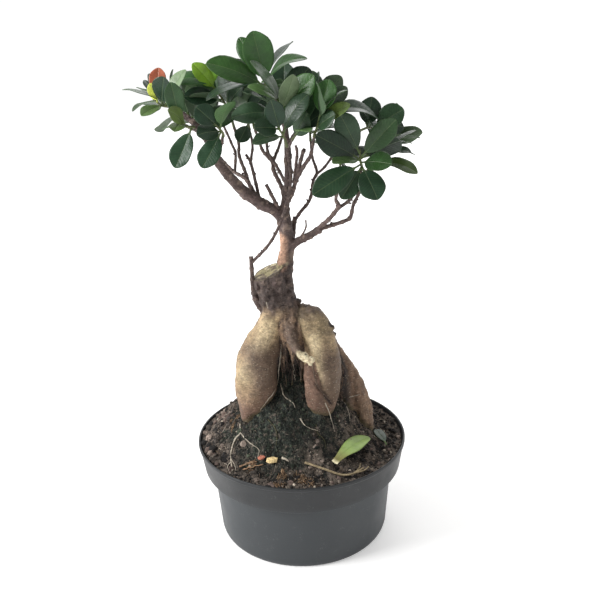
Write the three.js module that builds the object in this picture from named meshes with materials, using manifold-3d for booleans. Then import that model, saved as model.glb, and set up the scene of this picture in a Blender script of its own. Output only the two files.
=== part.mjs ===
// Ficus ginseng bonsai in its nursery pot.
// Millimetres, +Z up, the origin at the middle of the pot's base, -Y is the front.
import * as THREE from "three";
import { mergeVertices } from "three/addons/utils/BufferGeometryUtils.js";
import Module from "manifold-3d";

const wasm = await Module();
wasm.setup();

// Driving dimensions
const POT_RIM_RADIUS = 85;
const POT_HEIGHT = 80;
const POT_BASE_RADIUS = 68.5;
const POT_WALL = 1.5;
const POT_FLOOR = 2;
const POT_SIDES = 48;
const STEP_HEIGHT = 56.5;
const STEP_RADIUS = 74;
const BAND_RADIUS = 81;
const DRAIN_HOLES = 8;
const DRAIN_RADIUS = 4.5;
const DRAIN_RING = 48;

const GAP = 0.3;
const SOIL_RIM_LEVEL = 76.5;
const SOIL_MOUND = 46;
const SOIL_MOUND_REACH = 57;
const SOIL_MOUND_POWER = 4;
const SOIL_CENTRE = [-6, 1];
const SOIL_HEAP = 22;
const SOIL_HEAP_REACH = 18;
const SOIL_HEAP_CENTRE = [-5, -3];
const SOIL_RINGS = [9, 18, 28, 39, 51, 63, 75];
const SOIL_SIDES = 32;

const CUT_POINT = [-21, -4, 220.5];
const CUT_NORMAL = [-0.37, -0.1, 0.92];

const LEAF_THICKNESS = 0.8;
const PETIOLE_SHARE = 0.16;
const PETIOLE_HALF_WIDTH = 0.7;
const LEAF_STATIONS = [0, PETIOLE_SHARE, 0.33, 0.62, 0.91, 1];
const SHOOT_RADIUS = 1.2;
const BUD_RADIUS = 0.7;
const GOLDEN_ANGLE = THREE.MathUtils.degToRad(137.5);
const CLEAR_OF_OTHER_SHOOTS = 2.4;
const CLEAR_OF_OWN_SHOOT = 1;
const CLEAR_OF_TWIGS = 1.5;
const CROWN_CENTRE = [-15, 5, 318];

// Swollen roots and the stump: centre line points with the radius at each
const ROOTS = {
  left_tuber: [
    [-17, -3, 200, 9], [-19, -6, 190, 9], [-21, -8, 181, 9.6], [-24, -10, 172, 11.6],
    [-28, -12, 163, 14.2], [-32, -14, 151, 16], [-34, -15.5, 138, 16.3], [-35.2, -17, 127, 15.3],
    [-37, -18.5, 117, 12.4], [-38.8, -19.5, 109.5, 9.4], [-39.8, -20, 103.5, 7.2], [-41, -21, 84, 4],
  ],
  centre_tuber: [
    [-5, -4, 184, 8.5], [3, -6, 184, 9], [9.6, -9, 181.5, 10.6], [13.8, -12, 174, 11.8],
    [16.3, -15.5, 164.5, 12.4], [18, -18.5, 153, 13.6], [18.3, -21, 141, 13.8], [17.8, -23, 130, 13.2],
    [17.2, -24.5, 122.5, 12], [16.8, -26, 115.5, 10], [16.6, -27, 110, 7.8], [16.5, -28, 90, 4],
  ],
  front_lobe: [
    [8, -27, 152, 4.6], [9.3, -29.5, 143, 6.2], [10.6, -30.5, 134, 7.2], [12, -31, 125, 7.2],
    [13.6, -31, 117, 6.2], [15, -30, 110.5, 4.6], [16, -29, 96, 2.6],
  ],
  right_root: [
    [12, 3, 176, 7.5], [19, 3, 163, 7.5], [27, 2.5, 151, 7], [34.5, 1.5, 141, 6.6], [40.3, 0, 131.5, 6.4],
    [45, -2, 121.3, 6.5], [48, -4, 112, 6.8], [50, -6, 103, 6.9], [51.6, -7.5, 94.5, 6.5],
    [52.5, -8, 87, 5.5], [53.5, -9, 68, 3.5],
  ],
  side_root: [
    [18, 2, 170, 6], [23, 1, 156, 6.5], [29, -1, 142, 6.5], [34, -3, 128, 6.5], [38, -5, 114, 6],
    [40, -7, 101, 5], [41, -8, 84, 3],
  ],
  middle_root: [
    [-9, -4, 195, 8.6], [-5.5, -9, 182, 8.2], [-3, -13, 170, 7], [0, -14, 158, 5.5],
    [3, -13, 146, 4.2], [5, -11, 134, 3.4], [6, -9, 116, 2.6],
  ],
  back_root: [
    [-8, 4, 188, 9], [-8.5, 12, 176, 11.5], [-10, 19, 160, 13.5], [-11, 24, 146, 15],
    [-11, 28, 132, 14], [-9, 31, 118, 11], [-7, 33, 106, 7], [-6, 34, 86, 3.6],
  ],
  back_left_root: [
    [-14, 4, 186, 9], [-24, 12, 170, 9.5], [-31, 18, 154, 9.8], [-35, 23, 138, 8.8],
    [-38, 27, 122, 7], [-40, 30, 106, 5], [-41, 31, 86, 3.2],
  ],
};
const STUMP = [
  [-13, -3, 186, 13.4], [-16.5, -3, 197, 14], [-19, -3.5, 206, 13.6], [-20.5, -3.5, 214, 12.8],
  [-21, -4, 240, 12.4],
];
const ROOT_STUB = [
  [-8, -12, 184, 4], [-6, -19, 174, 4.2], [-3, -26, 167, 4], [1, -32, 162.5, 3.2], [4, -35.5, 161.5, 3.4],
  [7, -38, 160, 3.1], [10.5, -39.5, 159, 3.8],
];

// Trunk, branches and twigs: centre line points with the radius at each
const TRUNK = [
  [-12, -4, 198, 8.6], [-11.5, -4.5, 209, 7.4], [-10.6, -3.5, 217, 6.2], [-9, -2, 224, 5.2],
  [-7.5, -1, 233, 4.8],
  [-6.5, -1, 243, 5], [-7.5, -1, 254, 4.8], [-8.5, -1.5, 264, 4.2],
];
const LIMBS = {
  big_left: [
    [-8, -1, 258, 4.4], [-14, -3, 266, 4.4], [-24, -6, 272, 4.3], [-36, -10, 282, 4.1],
    [-45, -14, 293, 3.8], [-52, -17, 303, 3.4], [-55, -19, 312, 3], [-60, -20, 322, 2.7],
    [-65, -20, 330, 2.5], [-75, -17, 338, 2], [-84, -13, 343, 1.5],
  ],
  leader: [
    [-8, -1.5, 260, 4.1], [-7, -2, 272, 3.3], [-4, -1, 289, 2.9], [-4, 0, 302, 2.6],
    [-4, 1, 314, 2.4], [-5, 2, 324, 2.2], [-6, 2, 339, 1.8], [-11, 1, 348, 1.5], [-16, 0, 353, 1.3],
  ],
  left_low: [[-54, -19, 310, 1.6], [-50, -22, 317, 1.5], [-48, -25, 323, 1.3]],
  left_hang: [[-63, -20, 328, 1.6], [-67, -24, 330, 1.3]],
  far_left_back: [[-62, -20, 326, 1.8], [-70, -10, 328, 1.6], [-78, 4, 330, 1.4], [-83, 16, 333, 1.2]],
  front_right: [
    [-7, -2, 268, 2.2], [-4, -5, 275, 2.1], [-1, -9, 281, 2], [2, -14, 291, 1.9],
    [7, -19, 300, 1.8], [12, -23, 308, 1.6], [14, -27, 316, 1.4], [15, -30, 322, 1.2],
  ],
  front_stub_a: [[2, -14, 292, 1.7], [6, -20, 307, 1.7], [8, -24, 313, 1.7]],
  front_stub_b: [[0, -11, 288, 1.4], [3, -14, 309, 1.3], [2, -14, 315, 1.1]],
  back_left_a: [
    [-7, -1, 268, 2.2], [-9, 7, 281, 2], [-15, 13, 294, 1.9], [-16, 17, 300, 1.7],
    [-23, 22, 308, 1.5], [-26, 27, 316, 1.3], [-29, 32, 324, 1.2],
  ],
  back_left_b: [[-5, 0, 284, 1.6], [-13, 12, 298, 1.5], [-19, 20, 307, 1.4], [-20, 27, 315, 1.2]],
  back_far: [[-16, 17, 299, 1.6], [-12, 30, 307, 1.5], [-8, 42, 317, 1.3], [-6, 50, 325, 1.2]],
  back_high: [[-4, 1, 312, 1.7], [1, 11, 320, 1.6], [7, 21, 326, 1.4], [12, 29, 331, 1.2]],
  mid_left_a: [
    [-22, -5, 271, 1.9], [-26, -5, 276, 1.9], [-32, -2, 284, 1.8], [-36, 2, 296, 1.6],
    [-40, 7, 307, 1.5], [-40, 10, 315, 1.3], [-43, 14, 326, 1.2],
  ],
  mid_left_b: [[-26, -5, 277, 1.6], [-30, 4, 295, 1.5], [-32, 7, 302, 1.4], [-35, 9, 307, 1.3]],
  mid_left_c: [[-32, 6, 300, 1.3], [-30, 12, 313, 1.2], [-32, 18, 324, 1.1]],
  long_left: [
    [-28, -5, 278, 1.8], [-35, -2, 290, 1.7], [-45, 8, 295, 1.6], [-55, 17, 304, 1.4],
    [-63, 26, 312, 1.3], [-70, 33, 322, 1.2],
  ],
  long_left_b: [[-44, 7, 294, 1.4], [-43, 12, 307, 1.3], [-46, 16, 315, 1.2], [-52, 20, 329, 1.1]],
  dead_stub: [[-11, -3, 265, 1.7], [-14, -6, 273, 1.7], [-20, -10, 287, 1.6]],
  dark_stub: [[-5, -1, 238, 2], [-2, 2, 245, 2.1], [-1, 5, 253, 2.2], [0, 8, 259, 2.4]],
  back_right: [
    [0, 7, 257, 1.6], [4, 10, 262, 1.7], [10, 14, 268, 1.6], [13, 18, 274, 1.6],
    [15, 23, 284, 1.5], [18, 27, 290, 1.5], [15, 34, 300, 1.3], [14, 42, 312, 1.2],
  ],
  back_right_b: [
    [17, 26, 288, 1.3], [24, 30, 293, 1.3], [30, 34, 300, 1.3], [37, 36, 308, 1.2],
    [44, 26, 315, 1.1], [50, 14, 321, 1],
  ],
  right_main: [
    [-8, -1, 231, 3.4], [-4, -2, 237, 3.3], [0, -4, 242, 3], [11, -7, 248, 2.8], [19, -9, 253.5, 2.6],
  ],
  right_up: [
    [16, -8, 252, 2.2], [26, -13, 262, 2.1], [32, -17, 271, 2], [30, -19, 276, 1.6],
    [31, -22, 284, 1.4], [33, -26, 293, 1.2],
  ],
  right_up_b: [
    [31, -16, 269, 1.8], [37, -17, 273, 1.6], [42, -18, 278, 1.5], [46, -20, 289, 1.4], [48, -22, 297, 1.2],
  ],
  right_out: [
    [16, -8, 252, 2.2], [30, -8, 256, 2], [40, -6, 259, 1.9], [42, -5, 262, 1.9],
    [44, -3, 270, 1.6], [47, -1, 275, 1.5], [54, 3, 286, 1.3], [60, 6, 295, 1.2],
  ],
  right_back: [[44, -3, 269, 1.5], [51, 9, 280, 1.4], [57, 22, 291, 1.3], [61, 32, 299, 1.2]],
  right_tendril: [[0, -4, 242, 1.1], [6, -8, 250, 0.9], [8, -9, 255, 0.8], [8, -10, 260, 0.7]],
  cross_twig: [
    [-34, -8, 228, 1.5], [-22, -9, 240, 1.5], [-14, -10, 252, 1.4], [-8, -11, 266, 1.4],
    [-5, -12, 277, 1.4], [-2, -14, 290, 1.3], [-3, -18, 305, 1.2], [-4, -24, 315, 1.1],
  ],
  cut_shoot: [[-27, -6, 189, 3.4], [-31.5, -7.5, 198, 3.2], [-33.6, -8, 209, 2.3], [-34, -8, 233, 1.9]],
  hub: [[-6, 2, 331, 1.5], [-7, -6, 333, 1.3], [-8, -12, 334, 1.2]],
  low_hub: [[-4, 0, 309, 1.4], [-2, -8, 315, 1.2], [0, -14, 319, 1.1]],
};
const LIMB_SIDES = { big_left: 8, leader: 7 };
const TWIG_SIDES = 5;
const LIMB_SLIMMING = 0.86; // the photograph's blur widens what is read off it

// Shoots: the twig that carries each, its green stem from the twig's end, its seen leaves and how
// many more grow on it. A leaf is: share of the stem, tip, width, way it faces, arch, kind.
const SHOOTS = [
  {
    name: "far_left", twig: "big_left", path: [[-91, -12, 345], [-96, -10, 349]], more: 0,
    leaves: [
      [0.15, [-117, -12, 356], 14, [0.4, -0.1, 1], 0.1, "grey"],
      [0.45, [-85, -26, 364], 15, [0, -1, 0.3], 0.04, "dark"],
      [0.25, [-72, -10, 368], 12, [-0.8, -0.8, 0.2], 0.05, "pale"],
      [0.8, [-92, -4, 370], 12, [0, -1, 0.2], 0.03, "red"],
      [0.75, [-97, -20, 357], 8, [0.2, -1, 0.3], 0.05, "yellow"],
      [1, [-103, -2, 362], 8, [0.2, -0.2, 1], 0.1, "dark"],
      [0.35, [-102, -28, 339], 11, [0, -0.6, 0.8], 0.06, "light"],
      [0.9, [-113, -4, 341], 10, [0, 0, 1], 0.1, "grey"],
    ],
  },
  {
    name: "left_hang", twig: "left_hang", path: [[-72, -26, 331], [-77, -24, 334]], more: 1,
    leaves: [
      [0.1, [-81, -34, 304], 16, [-0.3, -1, 0.1], -0.02, "dark"],
      [0.9, [-78, -42, 329], 12, [0, -1, 0.6], 0.05, "olive"],
      [0.6, [-82, -38, 343], 12, [0.1, -0.8, 0.6], 0.12, "olive"],
      [1, [-82, -18, 357], 13, [0.2, -1, 0.1], 0.05, "mid"],
    ],
  },
  {
    name: "left_low", twig: "left_low", path: [[-48, -28, 327], [-51, -31, 331]], more: 1,
    leaves: [
      [0.5, [-62, -38, 304], 16, [-0.3, -1, 0.2], -0.03, "dark"],
      [0.4, [-64, -38, 326], 15, [-0.1, -0.8, 0.6], 0.08, "dark"],
      [0.9, [-64, -32, 344], 15, [0, -0.9, 0.4], 0.06, "dark"],
    ],
  },
  {
    name: "top_left", twig: "mid_left_a", path: [[-46, 12, 338], [-51, 8, 349], [-56, 2, 357]], more: 4,
    leaves: [
      [0.95, [-82, -6, 364], 14, [0.1, -0.7, 0.8], 0.22, "green"],
      [0.9, [-70, -4, 370], 12, [0, -0.9, 0.4], 0.12, "yellowgreen"],
      [1, [-60, 14, 372], 13, [0.2, -1, 0.2], 0.06, "yellowgreen"],
      [0.6, [-76, -4, 350], 14, [0, -0.9, 0.4], 0.08, "dark"],
      [0.4, [-33, -4, 357], 14, [0, -0.8, 0.5], 0.06, "dark"],
    ],
  },
  {
    name: "top", twig: "leader", path: [[-18, 0, 357], [-20, 2, 362]], more: 1,
    leaves: [
      [0.3, [-25, -8, 392], 22, [0.15, -1, 0.1], 0.03, "green"],
      [0.9, [-36, 14, 389], 14, [0, -1, 0.1], 0.03, "green"],
      [0.1, [-58, -10, 372], 19, [-0.1, -0.8, 0.6], 0.1, "green"],
      [0.05, [-59, -18, 354], 16, [0, -0.25, 1], 0.15, "dark"],
      [0.2, [12, -10, 373], 15, [-0.75, -0.3, 0.6], 0.2, "green"],
    ],
  },
  {
    name: "hub", twig: "hub", path: [[-8, -18, 337], [-7, -20, 344]], more: 2,
    leaves: [
      [0.6, [2, -30, 363], 14, [0.5, -0.9, 0.3], 0.05, "pale"],
      [0.1, [16, -26, 362], 19, [-0.2, -0.9, 0.5], 0.04, "green"],
      [0.05, [-41, -30, 336], 18, [0, -0.75, 0.7], 0.14, "grey"],
      [1, [-29, -28, 356], 13, [0, -0.5, 0.9], 0.12, "light"],
      [0.9, [13, -8, 367], 18, [0, -1, 0.3], 0.05, "dark"],
    ],
  },
  {
    name: "low_hub", twig: "low_hub", path: [[2, -18, 322], [4, -20, 325]], more: 1,
    leaves: [
      [0.2, [13, -28, 338], 16, [-0.1, -0.9, 0.4], 0.03, "mid"],
      [0.7, [15, -40, 321], 11, [0.1, -0.5, 0.9], 0.1, "light"],
      [1, [27, -14, 340], 15, [0, -0.8, 0.6], 0.05, "dark"],
    ],
  },
  {
    name: "cross", twig: "cross_twig", path: [[-6, -28, 323], [-9, -30, 328]], more: 1,
    leaves: [
      [0.5, [-27, -36, 319], 12, [0, -0.6, 0.8], 0.1, "grey"],
      [1, [-25, -44, 330], 14, [0, -0.9, 0.5], 0.06, "dark"],
      [0.9, [-16, -40, 346], 14, [0, -1, 0.2], 0.05, "dark"],
    ],
  },
  {
    name: "inner_left", twig: "mid_left_c", path: [[-33, 14, 332], [-37, 8, 341]], more: 4,
    leaves: [
      [0.95, [-61, -12, 333], 17, [-0.1, -0.9, 0.4], 0.08, "mid"],
      [1, [-46, -14, 350], 12, [0, -1, 0.2], 0.06, "grey"],
      [0.2, [-39, 0, 317], 12, [0, -1, 0.2], 0.02, "dark"],
      [0.6, [-19, 8, 349], 14, [0, -1, 0.2], 0.04, "dark"],
    ],
  },
  {
    name: "front_right", twig: "front_right", path: [[17, -30, 328], [19, -28, 335]], more: 2,
    leaves: [
      [0.3, [29, -44, 337], 14, [-0.1, -0.8, 0.6], 0.06, "mid"],
      [0.9, [38, -20, 354], 14, [0, -0.6, 0.8], 0.04, "grey"],
      [1, [26, -24, 359], 17, [-0.2, -0.8, 0.6], 0.03, "green"],
      [0.8, [38, -34, 352], 11, [0, -0.1, 1], 0.12, "grey"],
      [0.6, [39, -42, 343], 11, [0, -0.8, 0.6], 0.05, "olive"],
      [0.95, [61, -12, 331], 16, [0.2, -0.5, 0.9], 0.2, "dark"],
    ],
  },
  {
    name: "right_hub", twig: "right_up_b", path: [[47, -24, 305], [47, -24, 310]], more: 1,
    leaves: [
      [0.9, [33, -30, 337], 17, [0, -1, 0.3], 0.03, "grey"],
      [0.6, [14, -30, 322], 18, [-0.1, -0.9, 0.4], 0.04, "dark"],
      [0.5, [24, -44, 304], 12, [0, -0.5, 0.9], 0.06, "light"],
      [0.3, [13, -36, 283], 18, [-0.1, -1, 0.3], 0.05, "dark"],
      [0.15, [33, -26, 278], 15, [0, -1, 0.2], 0.04, "dark"],
      [0.2, [58, -34, 277], 19, [0.1, -1, 0.3], 0.04, "dark"],
      [0.4, [67, -40, 303], 17, [0, -0.8, 0.6], 0.06, "green"],
      [0.7, [71, -30, 332], 16, [0.2, -0.9, 0.4], 0.05, "mid"],
    ],
  },
  {
    name: "right_up", twig: "right_up", path: [[33, -22, 299], [34, -16, 305]], more: 5,
    leaves: [],
  },
  {
    name: "right_top", twig: "back_right_b", path: [[55, 6, 324], [59, 0, 324]], more: 0,
    leaves: [
      [1, [80, -4, 337], 18, [-0.1, -0.9, 0.4], 0.05, "mid"],
      [0.9, [82, 8, 324], 13, [0, -0.9, 0.4], 0.06, "dark"],
      [0.5, [58, 2, 346], 16, [0, -1, 0.3], 0.1, "dark"],
      [0.7, [52, -14, 338], 16, [0.5, -0.6, 0.7], 0.12, "dark"],
    ],
  },
  {
    name: "right_out", twig: "right_out", path: [[65, 6, 304], [70, 4, 309]], more: 2,
    leaves: [
      [1, [91, 8, 321], 10, [0, -0.05, 1], 0.06, "grey"],
      [0.85, [89, 12, 311], 10, [0, 0, 1], 0.16, "dark"],
      [0.6, [86, -4, 306], 12, [0, -0.3, 1], 0.14, "dark"],
      [0.1, [91, -4, 291], 14, [-0.1, -0.5, 0.9], 0.14, "olive"],
    ],
  },
  {
    name: "far_left_back", twig: "far_left_back", path: [[-87, 24, 337], [-90, 30, 341]], more: 6,
    leaves: [],
  },
  { name: "back_left_a", twig: "back_left_a", path: [[-31, 38, 334], [-32, 42, 341]], more: 6, leaves: [] },
  { name: "back_left_b", twig: "back_left_b", path: [[-19, 32, 324], [-16, 34, 332]], more: 6, leaves: [] },
  { name: "back_far", twig: "back_far", path: [[-6, 58, 332], [-5, 62, 337]], more: 6, leaves: [] },
  { name: "back_high", twig: "back_high", path: [[16, 34, 334], [19, 38, 338]], more: 5, leaves: [] },
  { name: "back_right", twig: "back_right", path: [[14, 50, 320], [16, 56, 326]], more: 6, leaves: [] },
  { name: "right_back", twig: "right_back", path: [[66, 38, 306], [71, 42, 310]], more: 7, leaves: [] },
  { name: "long_left", twig: "long_left", path: [[-77, 38, 330], [-82, 42, 335]], more: 6, leaves: [] },
  { name: "long_left_b", twig: "long_left_b", path: [[-56, 24, 338], [-58, 26, 346]], more: 6, leaves: [] },
];
const GROWN_KINDS = ["dark", "dark", "mid", "green", "mid"];

// What lies on the soil: each leaf from its base to its tip, its width and kind
const FALLEN_LEAVES = {
  fallen_leaf: { base: [23.5, -58.5], tip: [54, -21], rise: 2.5, width: 14, arch: 0.11, stalk: 3 },
  withered_leaf: { base: [67, -24], tip: [60.5, -4], rise: 4, width: 8, arch: 0.05 },
};
const FALLEN_TWIG = [
  [2, -63, 1.2], [16.5, -67, 1.1], [28, -69, 1.1], [37, -67.5, 1], [46, -60, 0.8],
];
const BARK_CHIPS = {
  pale_chip: { at: [-22.8, -61], size: [7.5, 6.5, 2.8], turn: 10 },
  red_chip: { at: [-30.5, -57.5], size: [6.5, 4.5, 2.4], turn: 50 },
};

// Vectors as plain arrays
const add = (a, b, k = 1) => [a[0] + b[0] * k, a[1] + b[1] * k, a[2] + b[2] * k];
const subtract = (a, b) => [a[0] - b[0], a[1] - b[1], a[2] - b[2]];
const scale = (a, k) => [a[0] * k, a[1] * k, a[2] * k];
const dot = (a, b) => a[0] * b[0] + a[1] * b[1] + a[2] * b[2];
const cross = (a, b) => [a[1] * b[2] - a[2] * b[1], a[2] * b[0] - a[0] * b[2], a[0] * b[1] - a[1] * b[0]];
const length = (a) => Math.sqrt(dot(a, a));
const unit = (a) => scale(a, 1 / length(a));
const across = (a, axis) => unit(add(a, axis, -dot(a, axis)));

// Repeatable random numbers from 0 to 1
function seeded(seed) {
  let state = seed >>> 0;
  return () => {
    state = (state + 0x6d2b79f5) >>> 0;
    let t = Math.imul(state ^ (state >>> 15), state | 1);
    t ^= t + Math.imul(t ^ (t >>> 7), t | 61);
    return ((t ^ (t >>> 14)) >>> 0) / 4294967296;
  };
}

// Closed meshes from rings of points, with flat ends
function geometryFromRings(rings) {
  const sides = rings[0].length;
  const faces = [];
  for (let i = 0; i + 1 < rings.length; i += 1) {
    for (let j = 0; j < sides; j += 1) {
      const a = i * sides + j;
      const b = i * sides + ((j + 1) % sides);
      faces.push(a, b, b + sides, a, b + sides, a + sides);
    }
  }
  const last = (rings.length - 1) * sides;
  for (let j = 1; j + 1 < sides; j += 1) {
    faces.push(0, j + 1, j);
    faces.push(last, last + j, last + j + 1);
  }
  const geometry = new THREE.BufferGeometry();
  geometry.setAttribute("position", new THREE.Float32BufferAttribute(rings.flat(2), 3));
  geometry.setIndex(faces);
  return geometry;
}

// A round loft along points that carry their radius, with the surface lifted by swell(angle, i)
function loft(points, sides, { grow = 0, swell = () => 1, startDirection } = {}) {
  const at = points.map((p) => p.slice(0, 3));
  const tangents = at.map((p, i) => unit(subtract(at[i + 1] ?? p, at[i - 1] ?? p)));
  if (startDirection) {
    tangents[0] = unit(startDirection);
  }
  let side = across(Math.abs(tangents[0][2]) > 0.9 ? [1, 0, 0] : [0, 0, 1], tangents[0]);
  const rings = at.map((p, i) => {
    side = across(side, tangents[i]);
    const other = cross(tangents[i], side);
    return Array.from({ length: sides }, (_, j) => {
      const angle = (2 * Math.PI * j) / sides;
      const radius = (points[i][3] + grow) * swell(angle, i);
      return add(add(p, side, radius * Math.cos(angle)), other, radius * Math.sin(angle));
    });
  });
  return geometryFromRings(rings);
}

// Solids for joining and cutting
function solid(geometry) {
  const bare = geometry.clone();
  bare.deleteAttribute("normal");
  bare.deleteAttribute("uv");
  const merged = mergeVertices(bare, 1e-4);
  return new wasm.Manifold(new wasm.Mesh({
    numProp: 3,
    vertProperties: new Float32Array(merged.attributes.position.array),
    triVerts: new Uint32Array(merged.index.array),
  }));
}

function joined(solids) {
  return solids.reduce((all, next) => all.add(next));
}

// The largest body of a solid, without the scraps that a cut leaves
function largestBody(body) {
  return body.decompose().reduce((best, next) => (next.volume() > best.volume() ? next : best));
}

function geometryOf(body) {
  const { vertProperties, triVerts } = body.getMesh();
  const geometry = new THREE.BufferGeometry();
  geometry.setAttribute("position", new THREE.Float32BufferAttribute(vertProperties, 3));
  geometry.setIndex(Array.from(triVerts));
  const sharp = geometry.toNonIndexed();
  sharp.computeVertexNormals();
  return sharp;
}

// The pot: a stepped nursery pot with drain holes round its base
function potGeometry() {
  const outline = [
    [0, 0], [POT_BASE_RADIUS, 0], [POT_BASE_RADIUS + POT_WALL, 3], [STEP_RADIUS, STEP_HEIGHT],
    [BAND_RADIUS, STEP_HEIGHT], [POT_RIM_RADIUS, POT_HEIGHT - 2], [POT_RIM_RADIUS, POT_HEIGHT],
    [POT_RIM_RADIUS - POT_WALL, POT_HEIGHT], [BAND_RADIUS - POT_WALL, STEP_HEIGHT + POT_WALL],
    [STEP_RADIUS - POT_WALL, STEP_HEIGHT + POT_WALL], [POT_BASE_RADIUS, 2 * POT_FLOOR],
    [POT_BASE_RADIUS - POT_FLOOR, POT_FLOOR], [0, POT_FLOOR],
  ];
  const wall = new THREE.LatheGeometry(outline.map(([r, z]) => new THREE.Vector2(r, z)), POT_SIDES);
  wall.rotateX(Math.PI / 2);
  let pot = solid(wall);
  for (let i = 0; i < DRAIN_HOLES; i += 1) {
    const angle = (2 * Math.PI * (i + 0.5)) / DRAIN_HOLES;
    const hole = new THREE.CylinderGeometry(DRAIN_RADIUS, DRAIN_RADIUS, 8, 10);
    hole.rotateX(Math.PI / 2);
    hole.translate(DRAIN_RING * Math.cos(angle), DRAIN_RING * Math.sin(angle), 1);
    pot = pot.subtract(solid(hole));
  }
  return geometryOf(pot);
}

// Height of the soil's surface at a place
function soilHeight(x, y) {
  const away = Math.hypot(x - SOIL_CENTRE[0], y - SOIL_CENTRE[1]) / SOIL_MOUND_REACH;
  const inner = Math.hypot(x - SOIL_HEAP_CENTRE[0], y - SOIL_HEAP_CENTRE[1]) / SOIL_HEAP_REACH;
  const mound = SOIL_MOUND * Math.exp(-Math.pow(away, SOIL_MOUND_POWER));
  const heap = SOIL_HEAP * Math.exp(-inner * inner);
  const lumps = 1.2 * Math.sin(x / 5.3 + 1) * Math.sin(y / 4.7) + 0.8 * Math.sin(x / 2.9 + y / 3.7);
  return SOIL_RIM_LEVEL + mound + heap + lumps * Math.min(1, Math.max(0, (82 - Math.hypot(x, y)) / 8));
}

// The soil: a mound that fills the pot, with plain holes for the roots
function soilSolid(rootSolids) {
  const ring = (radius, height) => Array.from({ length: SOIL_SIDES }, (_, j) => {
    const angle = (2 * Math.PI * (j + 0.5)) / SOIL_SIDES;
    const x = radius * Math.cos(angle);
    const y = radius * Math.sin(angle);
    return [x, y, height ?? soilHeight(x, y)];
  });
  const insidePot = (radius) => (radius - GAP) * Math.cos(Math.PI / POT_SIDES);
  const step = STEP_HEIGHT + POT_WALL + GAP;
  const rings = [
    ring(SOIL_RINGS[1], POT_FLOOR + GAP),
    ring(insidePot(POT_BASE_RADIUS - POT_FLOOR), POT_FLOOR + GAP),
    ring(insidePot(POT_BASE_RADIUS), 2 * POT_FLOOR + 2 * GAP),
    ring(insidePot(STEP_RADIUS - POT_WALL), step),
    ring(insidePot(BAND_RADIUS - POT_WALL), step + GAP),
    ring(insidePot(POT_RIM_RADIUS - POT_WALL) - 2 * GAP, SOIL_RIM_LEVEL - 0.5),
    ...SOIL_RINGS.toReversed().map((radius) => ring(radius)),
    ring(SOIL_RINGS[0] / 3),
  ];
  const filled = solid(geometryFromRings(rings));
  return largestBody(rootSolids.reduce((rest, root) => rest.subtract(root), filled));
}

// Swollen roots: low lumps and creases along and round them
const rootSwell = (seed) => (angle, i) =>
  1 + 0.045 * Math.sin(3 * angle + i * 0.9 + seed) + 0.03 * Math.sin(5 * angle - i * 1.7 + seed * 2);
const barkSwell = (angle, i) => 1 + 0.05 * Math.sin(4 * angle + i * 2.1) + 0.04 * Math.sin(7 * angle + i);
const ROOT_SIDES = { left_tuber: 14, centre_tuber: 14, back_root: 12 };

function rootLofts(grow) {
  return Object.entries(ROOTS).map(([name, points], index) =>
    solid(loft(points, ROOT_SIDES[name] ?? 10, { grow, swell: rootSwell(index) })));
}

// The stump with its slanting cut, made as the stump less what is above the cut
function stumpSolid() {
  const block = new THREE.BoxGeometry(120, 120, 60);
  block.translate(0, 0, 30);
  const normal = new THREE.Vector3(...CUT_NORMAL).normalize();
  block.applyQuaternion(new THREE.Quaternion().setFromUnitVectors(new THREE.Vector3(0, 0, 1), normal));
  block.translate(...CUT_POINT);
  return solid(loft(STUMP, 14, { swell: barkSwell })).subtract(solid(block));
}

function woodGeometry() {
  const slim = (points) => points.map(([x, y, z, radius]) => [x, y, z, radius * LIMB_SLIMMING]);
  const limb = ([name, points]) => solid(loft(slim(points), LIMB_SIDES[name] ?? TWIG_SIDES));
  const parts = [
    ...rootLofts(0),
    stumpSolid(),
    solid(loft(ROOT_STUB, 8)),
    solid(loft(TRUNK, 10, { swell: (angle) => 1 + 0.05 * Math.sin(3 * angle) })),
    ...Object.entries(LIMBS).map(limb),
  ];
  return geometryOf(largestBody(joined(parts)));
}

// A leaf as its base, tip, width, the way it faces, its arch and its kind
function leafFrame(leaf) {
  const along = subtract(leaf.tip, leaf.base);
  const size = length(along);
  const axis = scale(along, 1 / size);
  const normal = across(leaf.facing, axis);
  return { size, axis, normal, side: cross(normal, axis) };
}

// Half the blade's width at a share of the way from the leaf's base to its tip: a wedge at the stalk
// and a round tip, widest past the middle
function halfWidth(leaf, share) {
  const blade = Math.max(0, (share - PETIOLE_SHARE) / (1 - PETIOLE_SHARE));
  return leaf.width * Math.pow(blade, 0.7) * Math.sqrt(Math.max(0, 1 - Math.pow(blade, 1.4)));
}

function leafPoint(leaf, frame, share) {
  const lift = leaf.arch * frame.size * 4 * share * (1 - share);
  return add(add(leaf.base, frame.axis, frame.size * share), frame.normal, lift);
}

// Lines across the blade, which stand for it where clearances are measured. Near their stem the leaves
// of one shoot may touch, so the first lines don't count there.
const LINE_SHARES = [0.12, 0.22, 0.34, 0.46, 0.58, 0.7, 0.82, 0.93];
const LINES_NEAR_STEM = 3;

function bladeLines(leaf) {
  const frame = leafFrame(leaf);
  return LINE_SHARES.map((share) => {
    const middle = leafPoint(leaf, frame, share);
    const half = halfWidth(leaf, share);
    return [add(middle, frame.side, half), add(middle, frame.side, -half)];
  });
}

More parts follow.
